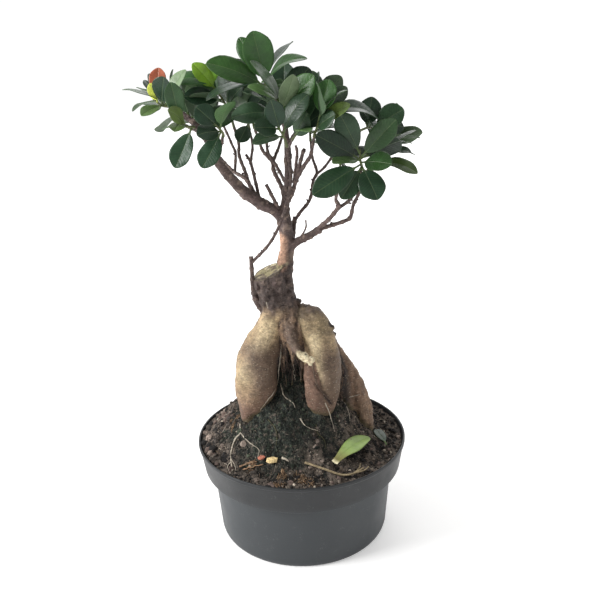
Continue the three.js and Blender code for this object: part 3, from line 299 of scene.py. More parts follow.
SHOOTS = [
    ("far_left", "big_left", [(-91, -12, 345), (-96, -10, 349)], 0, [
        (0.15, (-117, -12, 356), 14, (0.4, -0.1, 1), 0.1, "grey"),
        (0.45, (-85, -26, 364), 15, (0, -1, 0.3), 0.04, "dark"),
        (0.25, (-72, -10, 368), 12, (-0.8, -0.8, 0.2), 0.05, "pale"),
        (0.8, (-92, -4, 370), 12, (0, -1, 0.2), 0.03, "red"),
        (0.75, (-97, -20, 357), 8, (0.2, -1, 0.3), 0.05, "yellow"),
        (1, (-103, -2, 362), 8, (0.2, -0.2, 1), 0.1, "dark"),
        (0.35, (-102, -28, 339), 11, (0, -0.6, 0.8), 0.06, "light"),
        (0.9, (-113, -4, 341), 10, (0, 0, 1), 0.1, "grey"),
    ]),
    ("left_hang", "left_hang", [(-72, -26, 331), (-77, -24, 334)], 1, [
        (0.1, (-81, -34, 304), 16, (-0.3, -1, 0.1), -0.02, "dark"),
        (0.9, (-78, -42, 329), 12, (0, -1, 0.6), 0.05, "olive"),
        (0.6, (-82, -38, 343), 12, (0.1, -0.8, 0.6), 0.12, "olive"),
        (1, (-82, -18, 357), 13, (0.2, -1, 0.1), 0.05, "mid"),
    ]),
    ("left_low", "left_low", [(-48, -28, 327), (-51, -31, 331)], 1, [
        (0.5, (-62, -38, 304), 16, (-0.3, -1, 0.2), -0.03, "dark"),
        (0.4, (-64, -38, 326), 15, (-0.1, -0.8, 0.6), 0.08, "dark"),
        (0.9, (-64, -32, 344), 15, (0, -0.9, 0.4), 0.06, "dark"),
    ]),
    ("top_left", "mid_left_a", [(-46, 12, 338), (-51, 8, 349), (-56, 2, 357)], 4, [
        (0.95, (-82, -6, 364), 14, (0.1, -0.7, 0.8), 0.22, "green"),
        (0.9, (-70, -4, 370), 12, (0, -0.9, 0.4), 0.12, "yellowgreen"),
        (1, (-60, 14, 372), 13, (0.2, -1, 0.2), 0.06, "yellowgreen"),
        (0.6, (-76, -4, 350), 14, (0, -0.9, 0.4), 0.08, "dark"),
        (0.4, (-33, -4, 357), 14, (0, -0.8, 0.5), 0.06, "dark"),
    ]),
    ("top", "leader", [(-18, 0, 357), (-20, 2, 362)], 1, [
        (0.3, (-25, -8, 392), 22, (0.15, -1, 0.1), 0.03, "green"),
        (0.9, (-36, 14, 389), 14, (0, -1, 0.1), 0.03, "green"),
        (0.1, (-58, -10, 372), 19, (-0.1, -0.8, 0.6), 0.1, "green"),
        (0.05, (-59, -18, 354), 16, (0, -0.25, 1), 0.15, "dark"),
        (0.2, (12, -10, 373), 15, (-0.75, -0.3, 0.6), 0.2, "green"),
    ]),
    ("hub", "hub", [(-8, -18, 337), (-7, -20, 344)], 2, [
        (0.6, (2, -30, 363), 14, (0.5, -0.9, 0.3), 0.05, "pale"),
        (0.1, (16, -26, 362), 19, (-0.2, -0.9, 0.5), 0.04, "green"),
        (0.05, (-41, -30, 336), 18, (0, -0.75, 0.7), 0.14, "grey"),
        (1, (-29, -28, 356), 13, (0, -0.5, 0.9), 0.12, "light"),
        (0.9, (13, -8, 367), 18, (0, -1, 0.3), 0.05, "dark"),
    ]),
    ("low_hub", "low_hub", [(2, -18, 322), (4, -20, 325)], 1, [
        (0.2, (13, -28, 338), 16, (-0.1, -0.9, 0.4), 0.03, "mid"),
        (0.7, (15, -40, 321), 11, (0.1, -0.5, 0.9), 0.1, "light"),
        (1, (27, -14, 340), 15, (0, -0.8, 0.6), 0.05, "dark"),
    ]),
    ("cross", "cross_twig", [(-6, -28, 323), (-9, -30, 328)], 1, [
        (0.5, (-27, -36, 319), 12, (0, -0.6, 0.8), 0.1, "grey"),
        (1, (-25, -44, 330), 14, (0, -0.9, 0.5), 0.06, "dark"),
        (0.9, (-16, -40, 346), 14, (0, -1, 0.2), 0.05, "dark"),
    ]),
    ("inner_left", "mid_left_c", [(-33, 14, 332), (-37, 8, 341)], 4, [
        (0.95, (-61, -12, 333), 17, (-0.1, -0.9, 0.4), 0.08, "mid"),
        (1, (-46, -14, 350), 12, (0, -1, 0.2), 0.06, "grey"),
        (0.2, (-39, 0, 317), 12, (0, -1, 0.2), 0.02, "dark"),
        (0.6, (-19, 8, 349), 14, (0, -1, 0.2), 0.04, "dark"),
    ]),
    ("front_right", "front_right", [(17, -30, 328), (19, -28, 335)], 2, [
        (0.3, (29, -44, 337), 14, (-0.1, -0.8, 0.6), 0.06, "mid"),
        (0.9, (38, -20, 354), 14, (0, -0.6, 0.8), 0.04, "grey"),
        (1, (26, -24, 359), 17, (-0.2, -0.8, 0.6), 0.03, "green"),
        (0.8, (38, -34, 352), 11, (0, -0.1, 1), 0.12, "grey"),
        (0.6, (39, -42, 343), 11, (0, -0.8, 0.6), 0.05, "olive"),
        (0.95, (61, -12, 331), 16, (0.2, -0.5, 0.9), 0.2, "dark"),
    ]),
    ("right_hub", "right_up_b", [(47, -24, 305), (47, -24, 310)], 1, [
        (0.9, (33, -30, 337), 17, (0, -1, 0.3), 0.03, "grey"),
        (0.6, (14, -30, 322), 18, (-0.1, -0.9, 0.4), 0.04, "dark"),
        (0.5, (24, -44, 304), 12, (0, -0.5, 0.9), 0.06, "light"),
        (0.3, (13, -36, 283), 18, (-0.1, -1, 0.3), 0.05, "dark"),
        (0.15, (33, -26, 278), 15, (0, -1, 0.2), 0.04, "dark"),
        (0.2, (58, -34, 277), 19, (0.1, -1, 0.3), 0.04, "dark"),
        (0.4, (67, -40, 303), 17, (0, -0.8, 0.6), 0.06, "green"),
        (0.7, (71, -30, 332), 16, (0.2, -0.9, 0.4), 0.05, "mid"),
    ]),
    ("right_up", "right_up", [(33, -22, 299), (34, -16, 305)], 5, []),
    ("right_top", "back_right_b", [(55, 6, 324), (59, 0, 324)], 0, [
        (1, (80, -4, 337), 18, (-0.1, -0.9, 0.4), 0.05, "mid"),
        (0.9, (82, 8, 324), 13, (0, -0.9, 0.4), 0.06, "dark"),
        (0.5, (58, 2, 346), 16, (0, -1, 0.3), 0.1, "dark"),
        (0.7, (52, -14, 338), 16, (0.5, -0.6, 0.7), 0.12, "dark"),
    ]),
    ("right_out", "right_out", [(65, 6, 304), (70, 4, 309)], 2, [
        (1, (91, 8, 321), 10, (0, -0.05, 1), 0.06, "grey"),
        (0.85, (89, 12, 311), 10, (0, 0, 1), 0.16, "dark"),
        (0.6, (86, -4, 306), 12, (0, -0.3, 1), 0.14, "dark"),
        (0.1, (91, -4, 291), 14, (-0.1, -0.5, 0.9), 0.14, "olive"),
    ]),
    ("far_left_back", "far_left_back", [(-87, 24, 337), (-90, 30, 341)], 6, []),
    ("back_left_a", "back_left_a", [(-31, 38, 334), (-32, 42, 341)], 6, []),
    ("back_left_b", "back_left_b", [(-19, 32, 324), (-16, 34, 332)], 6, []),
    ("back_far", "back_far", [(-6, 58, 332), (-5, 62, 337)], 6, []),
    ("back_high", "back_high", [(16, 34, 334), (19, 38, 338)], 5, []),
    ("back_right", "back_right", [(14, 50, 320), (16, 56, 326)], 6, []),
    ("right_back", "right_back", [(66, 38, 306), (71, 42, 310)], 7, []),
    ("long_left", "long_left", [(-77, 38, 330), (-82, 42, 335)], 6, []),
    ("long_left_b", "long_left_b", [(-56, 24, 338), (-58, 26, 346)], 6, []),
]

FALLEN_LEAVES = {
    "fallen_leaf": ((24, -63), (53, -27), 0.5, 14, 0.08, "fallen"),
    "withered_leaf": ((67, -29), (60.5, -9), 2.5, 8.5, 0.05, "withered"),
}
FALLEN_TWIG = [(2, -63, 1.2), (16.5, -67, 1.1), (28, -69, 1.1), (37, -67.5, 1), (46, -60, 0.8)]
TWIG_FORKS = [
    [(40, -66, 0.8), (46, -63, 0.7), (50, -59, 0.5)],
    [(37, -67.5, 0.8), (42, -61, 0.6), (44, -56, 0.4)],
]
BARK_CHIPS = {
    "pale_chip": ((-22.8, -61), (7.5, 6.5, 2.8), 10, (222, 196, 144), "pale_bark"),
    "red_chip": ((-30.5, -57.5), (6.5, 4.5, 2.4), 50, (200, 128, 106), "red_bark"),
}

# Fine forms of the roots that only the look has
# The hanging roots mostly take dark tones and the shade tone: painted shade of the gaps they hang in.
GAP_ROOT_TONES = ("shade", "dark", "shade", "umber", "dark", "pale")
SIDE_ROOT_TONES = ("dark", "umber", "shade")
STRANDS = [
    [
        (-10.5, -11, 191, 3.4), (-11.8, -14.5, 177, 3), (-11, -17, 165, 1.9), (-12, -17.5, 150, 0.9),
        (-10.4, -18, 130, 0.6),
    ],
    [
        (-7.5, -12, 190, 3.6), (-6.6, -15.5, 178, 3.1), (-7.6, -18, 167, 2), (-5, -19, 153, 1),
        (-6.2, -19, 130, 0.6),
    ],
    [
        (-3.5, -12, 187, 3.4), (-1.6, -15, 178, 3), (-2, -17, 167, 2.4), (1.2, -18, 152, 1.2),
        (1.2, -20, 130, 0.7),
    ],
    [
        (-13.1, -11, 187, 2.6), (-15, -13, 173, 1.6), (-13.2, -14.5, 161, 1.2), (-14, -15.5, 147, 0.7),
        (-12.6, -17, 130, 0.5),
    ],
]
KNOBS = [
    (0.5, -7, 196, 2.6), (-32, -8, 204, 2.8), (-24, -15, 202, 3), (-13, -16, 208, 2.6), (-6, -11, 204, 2.4),
    (-17, -16, 194, 2.4), (-30, -12, 211, 2.4), (26, -13, 176, 2.6), (27.5, -12, 170, 2.2),
]
CRACK = [
    (11.6, -37, 155.5), (9, -38, 151.4), (10.7, -38, 142), (13.6, -38, 137.8), (17.3, -37, 131.8),
    (23.4, -34, 121.8),
]
CREASE = [
    (2.5, -24, 168), (5, -25, 174), (10, -25.5, 178.5), (17, -24.5, 179.5), (23, -21, 177), (26, -16, 173),
]

# Bands and lines painted on the roots: the line, how far the paint reaches, its full core, how much
# The bands are painted highlights, where light falls on the fronts of the tubers.
HIGHLIGHT_BANDS = [
    ([(-24, -22, 182), (-29, -27, 166), (-40, -28, 146)], 13, 3, 0.6),
    ([(11, -26, 172), (13, -32, 160), (17, -36, 146)], 9, 2, 0.75),
]
STUB_LINES = [
    ([(4.6, -36.6, 157), (5, -36.8, 165)], 1.5, 0.4, 1),
    ([(9.2, -39.4, 155.5), (9.2, -39.4, 163.5)], 0.9, 0.3, 0.8),
]
SCAB = [(25.2, -14, 180), (27.6, -12, 174.3), (27.8, -12, 168.5)]

# Thin roots that lie on the tubers and the soil: tone, radius and points
FINE_ROOTS = [
    ("pale", 0.5, [
        (-13.5, -16.3, 164.4), (-15.2, -15.8, 150), (-16.6, -14.5, 141), (-17.3, -13.1, 132.7),
        (-20.4, -24.8, 128.5), (-25.9, -28.3, 122.6), (-31.7, -28.9, 115.5), (-36.4, -29.6, 113.2),
    ]),
    ("pale", 0.45, [
        (-15.4, -16.1, 131.2), (-14.2, -21.5, 128.3), (-12.3, -25.5, 124.4), (-7.8, -30.1, 123),
        (-5.4, -32.8, 121.6), (-4.2, -34.4, 118.8),
    ]),
    ("pale", 0.75, [
        (-48, -27, 102.7), (-47.4, -33.7, 98.6), (-51.1, -34.5, 94.5), (-53.2, -37.5, 91.2),
        (-54.3, -41.7, 88.4), (-54.6, -45.7, 84.4), (-53.9, -50.8, 82), (-52.9, -57.7, 79.6),
    ]),
    ("pale", 0.45, [
        (-47.4, -33.7, 98.6), (-42.5, -41, 96.6), (-36.8, -47.2, 95), (-32.3, -51.2, 93.2),
        (-33.2, -54.8, 89.3),
    ]),
    ("pale", 0.4, [(-54, -49.4, 82.7), (-56.7, -51.3, 80.6), (-55.9, -56.5, 79.6)]),
    ("pale", 0.4, [(-54.1, -47.7, 83.5), (-51.1, -53.3, 81.7), (-50.1, -57.7, 80)]),
    ("pale", 0.9, [(-15, -58.2, 90.2), (-12.8, -59.3, 90), (-9.8, -61.1, 88.4)]),
    ("sand", 0.8, [(-47.1, -56, 82.3), (-39.3, -56.3, 85.3), (-34, -57.2, 87)]),
    ("sand", 0.6, [(-44.6, -59.3, 81.7), (-36.9, -59.9, 84.4), (-29.4, -60.4, 86.4)]),
    ("sand", 0.5, [(-42.5, -55.1, 84.3), (-38.7, -55.6, 86), (-35.1, -56, 87.5)]),
    ("pale", 0.4, [
        (18.7, -35.7, 123.1), (21, -35.2, 117.5), (22.5, -33.4, 111.4), (23.8, -35.8, 107.3),
        (25.1, -39.2, 102.2),
    ]),
    ("pale", 0.35, [(34.6, -14.4, 112.3), (36.8, -16.8, 109), (38.1, -20.3, 105.6), (38.4, -26.5, 101.8)]),
    ("pale", 0.3, [(38.9, -11.2, 115.2), (45.4, -10.2, 116.3), (52.1, -8, 116.1)]),
    ("pale", 0.35, [(-23.3, -18.6, 200), (-23, -17.8, 197.3), (-22.8, -15.4, 193.9)]),
    ("umber", 0.55, [
        (9.5, -38.5, 157.5), (10.2, -35, 152.5), (10.8, -34.2, 148.5), (11.5, -36.1, 144.1),
        (13.6, -36.8, 137.8), (17.4, -36.2, 131.9), (22.6, -35.2, 125), (24.9, -33.9, 120.1),
    ]),
    ("pale", 0.35, [(-0.7, -40.4, 113), (2.2, -43.8, 109.7), (6.6, -44.9, 106.8), (12.7, -44.1, 104.4)]),
    ("stain", 0.35, [
        (-25.4, -36.8, 111), (-20.7, -42.8, 108.1), (-18.5, -47.2, 102.9), (-19.4, -51.1, 96.5),
    ]),
    ("stain", 0.3, [(11.3, -40.8, 107.7), (12.6, -45.2, 102.4), (17, -47, 98.2), (18.3, -50.4, 92.4)]),
]

# Tufts of fibres: the place, how far they reach and how many there are
TUFTS = [((-16, -73), 7, 7), ((-2, -71), 6, 6), ((-38, -60), 6, 4), ((8, -74), 5, 3), ((-55, -20), 7, 3)]

# Colours as a screen shows them, from 0 to 255
LEAF_COLOURS = {
    "dark": (29, 52, 36),
    "mid": (39, 65, 40),
    "green": (45, 82, 38),
    "grey": (48, 70, 50),
    "light": (78, 106, 62),
    "olive": (70, 92, 46),
    "pale": (104, 128, 102),
    "red": (160, 90, 68),
    "yellow": (206, 226, 104),
    "yellowgreen": (90, 128, 36),
    "fallen": (132, 156, 88),
    "withered": (66, 80, 68),
}
WOOD = {
    "gold": (184, 160, 124),
    "light": (206, 188, 152),
    "tan": (160, 137, 108),
    "pink": (114, 89, 75),
    "umber": (94, 77, 65),
    "brown": (112, 90, 76),
    "sand": (150, 118, 90),
    "pale": (178, 168, 152),
    "shade": (54, 47, 43),
    "ochre": (136, 112, 90),
    "olive": (124, 110, 84),
    "stub": (100, 84, 73),
    "neck": (77, 66, 62),
    "bark": (90, 75, 72),
    "fleck": (140, 122, 110),
    "orange": (208, 166, 140),
    "dark": (52, 42, 39),
    "stain": (78, 76, 50),
    "cut": (156, 146, 108),
    "cream": (208, 196, 164),
}
SURFACES = {
    "pot_wall_dark": (46, 50, 53),
    "pot_wall_light": (58, 62, 65),
    "pot_band_dark": (28, 30, 32),
    "pot_band_light": (37, 39, 41),
    "pot_dust": (140, 140, 136),
    "pot_scuff": (140, 142, 142),
    "soil_dark": (26, 25, 24),
    "soil_light": (92, 83, 75),
    "grit": (128, 116, 105),
    "fibre": (110, 92, 76),
    "moss_dark": (28, 32, 30),
    "moss_light": (72, 77, 68),
    "bark_net": (74, 54, 42),
    "bark_pore": (78, 58, 44),
    "bark_dot": (236, 220, 190),
    "leaf_vein": (128, 150, 96),
    "leaf_rim": (110, 128, 78),
    "leaf_underside": (96, 116, 86),
    "leaf_rib": (136, 154, 98),
    "floor": (244, 243, 242),
    "white": (255, 255, 255),
    "green_shoot": (86, 92, 58),
    "dry_twig": (150, 134, 106),
}

# Mixes of tones, each tone with its share
CLOD_TONES = [((38, 36, 35), 0.4), ((72, 66, 61), 0.26), ((108, 93, 86), 0.2), ((138, 124, 114), 0.14)]
CRUMB_TONES = [
    ((38, 36, 34), 0.4), ((70, 65, 60), 0.25), ((106, 96, 88), 0.18), ((140, 128, 117), 0.12),
    ((184, 172, 156), 0.05),
]
MOSS_TONES = [((30, 35, 31), 0.45), ((45, 51, 43), 0.37), ((62, 69, 57), 0.14), ((86, 93, 78), 0.04)]
FIBRE_TONES = [((58, 49, 43), 0.4), ((86, 73, 62), 0.35), ((120, 104, 88), 0.17), ((170, 158, 140), 0.08)]
MOSS_FIBRE_TONES = [
    ((36, 35, 32), 0.5), ((58, 54, 48), 0.35), ((94, 90, 80), 0.12), ((150, 146, 134), 0.03),
]
TUFT_TONES = [((82, 66, 52), 0.35), ((120, 96, 74), 0.4), ((158, 132, 104), 0.25)]


def srgb(colour):
    c = np.array(colour, float) / 255
    return np.where(c <= 0.04045, c / 12.92, ((c + 0.055) / 1.055) ** 2.4)


def rgba(name):
    return (*srgb(SURFACES[name]), 1)


# Vectors and repeatable random numbers
def vec(*values):
    return np.array(values, float)


def unit(a):
    return a / np.linalg.norm(a)


def across(a, axis):
    return unit(a - axis * np.dot(a, axis))


def any_side(direction):
    return across(vec(1, 0, 0) if abs(direction[2]) > 0.9 else vec(0, 0, 1), direction)


def seeded(seed):
    """Numbers from 0 to 1 that come out the same on every run, as in the CAD."""
    whole = 0xFFFFFFFF
    state = seed

    def draw():
        nonlocal state
        state = (state + 0x6D2B79F5) & whole
        t = ((state ^ (state >> 15)) * (state | 1)) & whole
        t ^= (t + (t ^ (t >> 7)) * (t | 61)) & whole
        return (t ^ (t >> 14)) / 4294967296

    return draw


def smoothstep(value, low, high):
    t = np.clip((value - low) / (high - low), 0, 1)
    return t * t * (3 - 2 * t)


def ripple(points, size, octaves=3, stretch=(1, 1, 1), shift=0):
    """Smooth noise from about -1 to 1 at each point, with lumps of the given size."""
    scaled = points * np.array(stretch) / size + shift
    return np.array([noise.fractal(p, 1, 2, octaves) for p in scaled.tolist()])


# Lines that carry a radius, and round lofts along them
def smooth_line(points, step):
    """Rows about a step apart on a smooth curve through the given ones."""
    p = np.array(points, float)
    p = np.vstack([2 * p[0] - p[1], p, 2 * p[-1] - p[-2]])
    rows = []
    for a, b, c, d in zip(p, p[1:], p[2:], p[3:]):
        count = max(1, round(np.linalg.norm((c - b)[:3]) / step))
        for t in np.arange(count) / count:
            cubic = (3 * b - a - 3 * c + d) * t**3
            rows.append(0.5 * (2 * b + (c - a) * t + (2 * a - 5 * b + 4 * c - d) * t**2 + cubic))
    rows.append(p[-2])
    return np.array(rows)


def circle(sides):
    """Angles evenly round a circle."""
    return 2 * math.pi * np.arange(sides) / sides


def ring_quads(rings, sides):
    """Faces between rings of points that follow each other."""
    first = np.arange(sides)
    second = (first + 1) % sides
    starts = sides * np.arange(rings - 1)[:, None]
    corners = [starts + first, starts + second, starts + second + sides, starts + first + sides]
    return np.stack(corners, -1).reshape(-1, 4).tolist()


def tube(line, sides, swell=lambda angle, share: 1):
    """A closed round loft along rows of x, y, z and radius, as points and faces."""
    at = line[:, :3]
    tangents = np.gradient(at, axis=0)
    tangents /= np.linalg.norm(tangents, axis=1)[:, None]
    angle = circle(sides)
    side = any_side(tangents[0])
    rings = []
    for i, (middle, tangent) in enumerate(zip(at, tangents)):
        side = across(side, tangent)
        other = np.cross(tangent, side)
        radius = line[i, 3] * swell(angle, i / (len(line) - 1)) * np.ones(sides)
        round_it = np.outer(np.cos(angle), side) + np.outer(np.sin(angle), other)
        rings.append(middle + radius[:, None] * round_it)
    faces = ring_quads(len(rings), sides)
    start = len(rings) * sides
    last = start - sides
    pairs = [(i, (i + 1) % sides) for i in range(sides)]
    faces += [[start, b, a] for a, b in pairs]
    faces += [[start + 1, last + a, last + b] for a, b in pairs]
    return np.vstack(rings + [at[:1], at[-1:]]), faces


class Pile:
    """Points and faces of many small forms that become one mesh, with values kept for each point."""

    def __init__(self):
        self.points = []
        self.faces = []
        self.values = {}
        self.count = 0

    def add(self, points, faces, **values):
        self.points.append(points)
        self.faces += [[self.count + i for i in face] for face in faces]
        self.count += len(points)
        for name, value in values.items():
            value = np.asarray(value, float)
            shape = (len(points), 3) if value.shape[-1:] == (3,) else len(points)
            self.values.setdefault(name, []).append(np.broadcast_to(value, shape))

    def mesh(self, name):
        mesh = bpy.data.meshes.new(name)
        mesh.from_pydata((np.vstack(self.points) * MM).tolist(), [], self.faces)
        for key, rows in self.values.items():
            write_values(mesh, key, np.concatenate(rows))
        mesh.shade_smooth()
        return mesh


def write_values(mesh, name, values):
    """Keeps a number or three numbers for each point of a mesh, where its material reads them."""
    if values.ndim == 1:
        mesh.attributes.new(name, "FLOAT", "POINT").data.foreach_set("value", values)
    else:
        mesh.attributes.new(name, "FLOAT_VECTOR", "POINT").data.foreach_set("vector", values.ravel())


def in_scene(name, data):
    """A new object that shows a mesh, a lamp or a camera."""
    obj = bpy.data.objects.new(name, data)
    bpy.context.scene.collection.objects.link(obj)
    return obj


def baked(obj):
    """The mesh of an object with its modifiers applied, which then takes the object's place."""
    graph = bpy.context.evaluated_depsgraph_get()
    mesh = bpy.data.meshes.new_from_object(obj.evaluated_get(graph))
    bpy.data.objects.remove(obj)
    return mesh


def piece(name, mesh, slot, material, *nodes):
    """An object of the plant, which may stand for nodes of the CAD."""
    obj = in_scene(name, mesh)
    mesh.materials.append(material)
    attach(obj, "root")
    if nodes:
        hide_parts(*nodes)


def remeshed(mesh, voxel, rounds):
    """The outer skin of overlapping closed forms, smoothed."""
    obj = in_scene("skin", mesh)
    remesh = obj.modifiers.new("remesh", "REMESH")
    remesh.mode = "VOXEL"
    remesh.voxel_size = voxel * MM
    obj.modifiers.new("smooth", "SMOOTH").iterations = rounds
    return baked(obj)


def points_of(mesh):
    points = np.empty(3 * len(mesh.vertices))
    mesh.vertices.foreach_get("co", points)
    return points.reshape(-1, 3) / MM


def normals_of(mesh):
    normals = np.empty(3 * len(mesh.vertices))
    mesh.vertex_normals.foreach_get("vector", normals)
    return normals.reshape(-1, 3)


def move_points(mesh, points):
    mesh.vertices.foreach_set("co", (points * MM).ravel())
    mesh.update()


# Nodes, materials and light
class Nodes:
    """A tree of nodes, to which each call adds one."""

    def __init__(self, tree):
        self.tree = tree

    def node(self, kind, inputs=None, **settings):
        node = self.tree.nodes.new("ShaderNode" + kind)
        for key, value in settings.items():
            setattr(node, key, value)
        for key, value in (inputs or {}).items():
            self.feed(node.inputs[key], value)
        return node

    def feed(self, socket, value):
        if isinstance(value, bpy.types.NodeSocket):
            self.tree.links.new(value, socket)
        else:
            socket.default_value = value

    def step(self, value, low, high, start=0, end=1):
        inputs = {0: value, 1: low, 2: high, 3: start, 4: end}
        return self.node("MapRange", inputs, interpolation_type="SMOOTHSTEP").outputs[0]

    def math(self, operation, a, b=0.0):
        return self.node("Math", {0: a, 1: b}, operation=operation).outputs[0]

    def times(self, a, b):
        return self.math("MULTIPLY", a, b)


class Finish(Nodes):
    """A material, whose nodes measure places on the object in millimetres."""

    def __init__(self, name):
        self.material = bpy.data.materials.new(name)
        self.material.use_nodes = True
        super().__init__(self.material.node_tree)
        self.shader = self.tree.nodes["Principled BSDF"]
        place = self.node("TexCoord").outputs["Object"]
        scaled = {0: place, 1: (1000, 1000, 1000)}
        self.place = self.node("VectorMath", scaled, operation="MULTIPLY").outputs[0]

    def set(self, **values):
        for key, value in values.items():
            self.feed(self.shader.inputs[key.replace("_", " ")], value)

    def stretched(self, stretch):
        return self.node("VectorMath", {0: self.place, 1: stretch}, operation="MULTIPLY").outputs[0]

    def noise(self, size, detail=3, stretch=(1, 1, 1), warp=0):
        place = self.stretched(stretch)
        inputs = {"Vector": place, "Scale": 1 / size, "Detail": detail, "Distortion": warp}
        return self.node("TexNoise", inputs).outputs[0]

    def cells(self, size, stretch=(1, 1, 1), feature="F1"):
        inputs = {"Vector": self.stretched(stretch), "Scale": 1 / size}
        return self.node("TexVoronoi", inputs, feature=feature).outputs["Distance"]

    def mix(self, factor, a, b, blend="MIX"):
        inputs = {0: factor, 6: a, 7: b}
        return self.node("Mix", inputs, data_type="RGBA", blend_type=blend).outputs[2]

    def value(self, name, output="Fac"):
        return self.node("Attribute", attribute_name=name).outputs[output]

    def bump(self, height, depth, normal=None):
        """Relief that is the given number of millimetres deep."""
        inputs = {"Height": height, "Distance": depth * MM, "Strength": 1.0}
        if normal:
            inputs["Normal"] = normal
        return self.node("Bump", inputs).outputs[0]

    def shaded(self, colour, shade):
        """A colour made darker or lighter by a number."""
        grey = self.node("CombineColor", {0: shade, 1: shade, 2: shade}).outputs[0]
        return self.mix(1.0, colour, grey, "MULTIPLY")

    def speckle(self, colour, factor, dark, light):
        """A colour made darker and lighter by a pattern from 0 to 1."""
        return self.shaded(colour, self.step(factor, 0.3, 0.7, dark, light))


def pot_finish():
    f = Finish("pot_plastic")
    level = f.node("SeparateXYZ", {0: f.place}).outputs[2]
    cloud = f.noise(30, 4, warp=0.4)
    grain = f.noise(0.9, 2)
    dust = f.times(f.step(f.noise(9, 6), 0.5, 0.72), f.step(f.noise(1.1, 3), 0.5, 0.7))
    scuffs = f.step(f.noise(2.6, 3, warp=0.3), 0.74, 0.78)
    wall = f.mix(cloud, rgba("pot_wall_dark"), rgba("pot_wall_light"))
    band = f.mix(cloud, rgba("pot_band_dark"), rgba("pot_band_light"))
    base = f.mix(f.step(level, 52, 62), wall, band)
    base = f.mix(f.times(dust, 0.14), base, rgba("pot_dust"))
    f.set(Base_Color=f.mix(f.times(scuffs, 0.3), base, rgba("pot_scuff")))
    f.set(Roughness=f.step(cloud, 0.3, 0.7, 0.42, 0.56), Specular_IOR_Level=0.4)
    f.set(Normal=f.bump(grain, 0.05))
    return f.material


def soil_finish():
    f = Finish("soil_body")
    clods = f.noise(6, 5, warp=0.6)
    grit = f.noise(1.2, 4)
    fibre = f.step(f.noise(1.6, 4, (1, 0.3, 1), 1.2), 0.6, 0.68)
    base = f.mix(f.step(clods, 0.4, 0.6), rgba("soil_dark"), rgba("soil_light"))
    base = f.mix(f.step(grit, 0.54, 0.72), base, rgba("grit"))
    base = f.mix(f.times(fibre, 0.5), base, rgba("fibre"))
    moss = f.times(f.value("moss"), f.step(f.noise(3.5, 4), 0.3, 0.55))
    damp = f.mix(f.step(grit, 0.4, 0.7), rgba("moss_dark"), rgba("moss_light"))
    f.set(Base_Color=f.shaded(f.mix(moss, base, damp), f.value("shade")))
    f.set(Roughness=f.step(grit, 0.3, 0.7, 0.8, 0.98), Specular_IOR_Level=0.25)
    f.set(Normal=f.bump(grit, 0.9, f.bump(clods, 1.6)))
    return f.material


def crumb_finish(name, rough):
    f = Finish(name)
    fine = f.noise(0.8, 3)
    coarse = f.noise(2.2, 3)
    tone = f.speckle(f.value("tone", "Color"), coarse, 0.75, 1.2)
    f.set(Base_Color=f.speckle(tone, fine, 0.7, 1.25))
    f.set(Roughness=f.step(fine, 0.3, 0.7, rough - 0.12, rough + 0.05), Specular_IOR_Level=0.25)
    f.set(Normal=f.bump(fine, 0.5))
    return f.material


def wood_finish():
    f = Finish("root_and_bark")
    tone = f.value("tone", "Color")
    rough = f.value("rough")
    blotch = f.noise(8, 4, warp=0.8)
    wrinkle = f.noise(2.8, 5, (1, 1, 1.5), 1.1)
    pores = f.step(f.cells(1.5, (1, 1, 1.4)), 0.05, 0.3)
    net = f.step(f.cells(2.6, (1, 1, 1.5), "DISTANCE_TO_EDGE"), 0.0, 0.12)
    colour = f.speckle(tone, blotch, 0.82, 1.14)
    colour = f.speckle(colour, wrinkle, 0.7, 1.26)
    colour = f.mix(f.step(net, 0, 1, 0.22, 0), colour, rgba("bark_net"))
    colour = f.mix(f.step(pores, 0, 1, 0.2, 0), colour, rgba("bark_pore"))
    dots = f.step(f.cells(3.1, (1, 1, 2.6)), 0.1, 0.2, 0.55, 0)
    dots = f.times(dots, f.step(rough, 0.5, 0.9, 1, 0.15))
    f.set(Base_Color=f.mix(dots, colour, f.mix(0.6, colour, rgba("bark_dot"))))
    f.set(Roughness=f.step(wrinkle, 0.3, 0.7, 0.55, 0.75), Specular_IOR_Level=0.35)
    relief = f.times(wrinkle, rough)
    f.set(Normal=f.bump(relief, 1.3, f.bump(pores, 0.2, f.bump(net, 0.15))))
    return f.material


def leaf_finish():
    f = Finish("leaf_blade")
    place = f.node("SeparateXYZ", {0: f.value("leaf", "Vector")})
    side, along, aside = place.outputs[0], place.outputs[1], place.outputs[2]
    under = f.value("under")
    edge = f.math("ABSOLUTE", side)
    rib = f.step(aside, 0.05, 0.42, 1, 0)
    slope = f.math("SUBTRACT", along, f.times(edge, 0.14))
    veins = f.step(f.math("SINE", f.times(slope, 95.0)), 0.7, 1)
    veins = f.times(veins, f.step(edge, 0.75, 0.95, 1, 0))
    tone = f.value("tone", "Color")
    cloud = f.noise(8, 3)
    colour = f.speckle(tone, cloud, 0.82, 1.18)
    colour = f.mix(f.times(veins, 0.04), colour, rgba("leaf_vein"))
    colour = f.mix(f.step(edge, 0.94, 1, 0, 0.16), colour, rgba("leaf_rim"))
    colour = f.mix(f.times(under, 0.35), colour, rgba("leaf_underside"))
    f.set(Base_Color=f.mix(f.times(rib, 0.14), colour, rgba("leaf_rib")))
    gloss = f.step(cloud, 0.3, 0.7, 0.3, 0.42)
    f.set(Roughness=f.math("ADD", gloss, f.times(under, 0.25)), Specular_IOR_Level=0.3)
    relief = f.math("ADD", f.times(veins, -0.2), f.times(rib, -0.6))
    f.set(Normal=f.bump(relief, 0.2, f.bump(f.noise(4, 2), 0.3)))
    return f.material


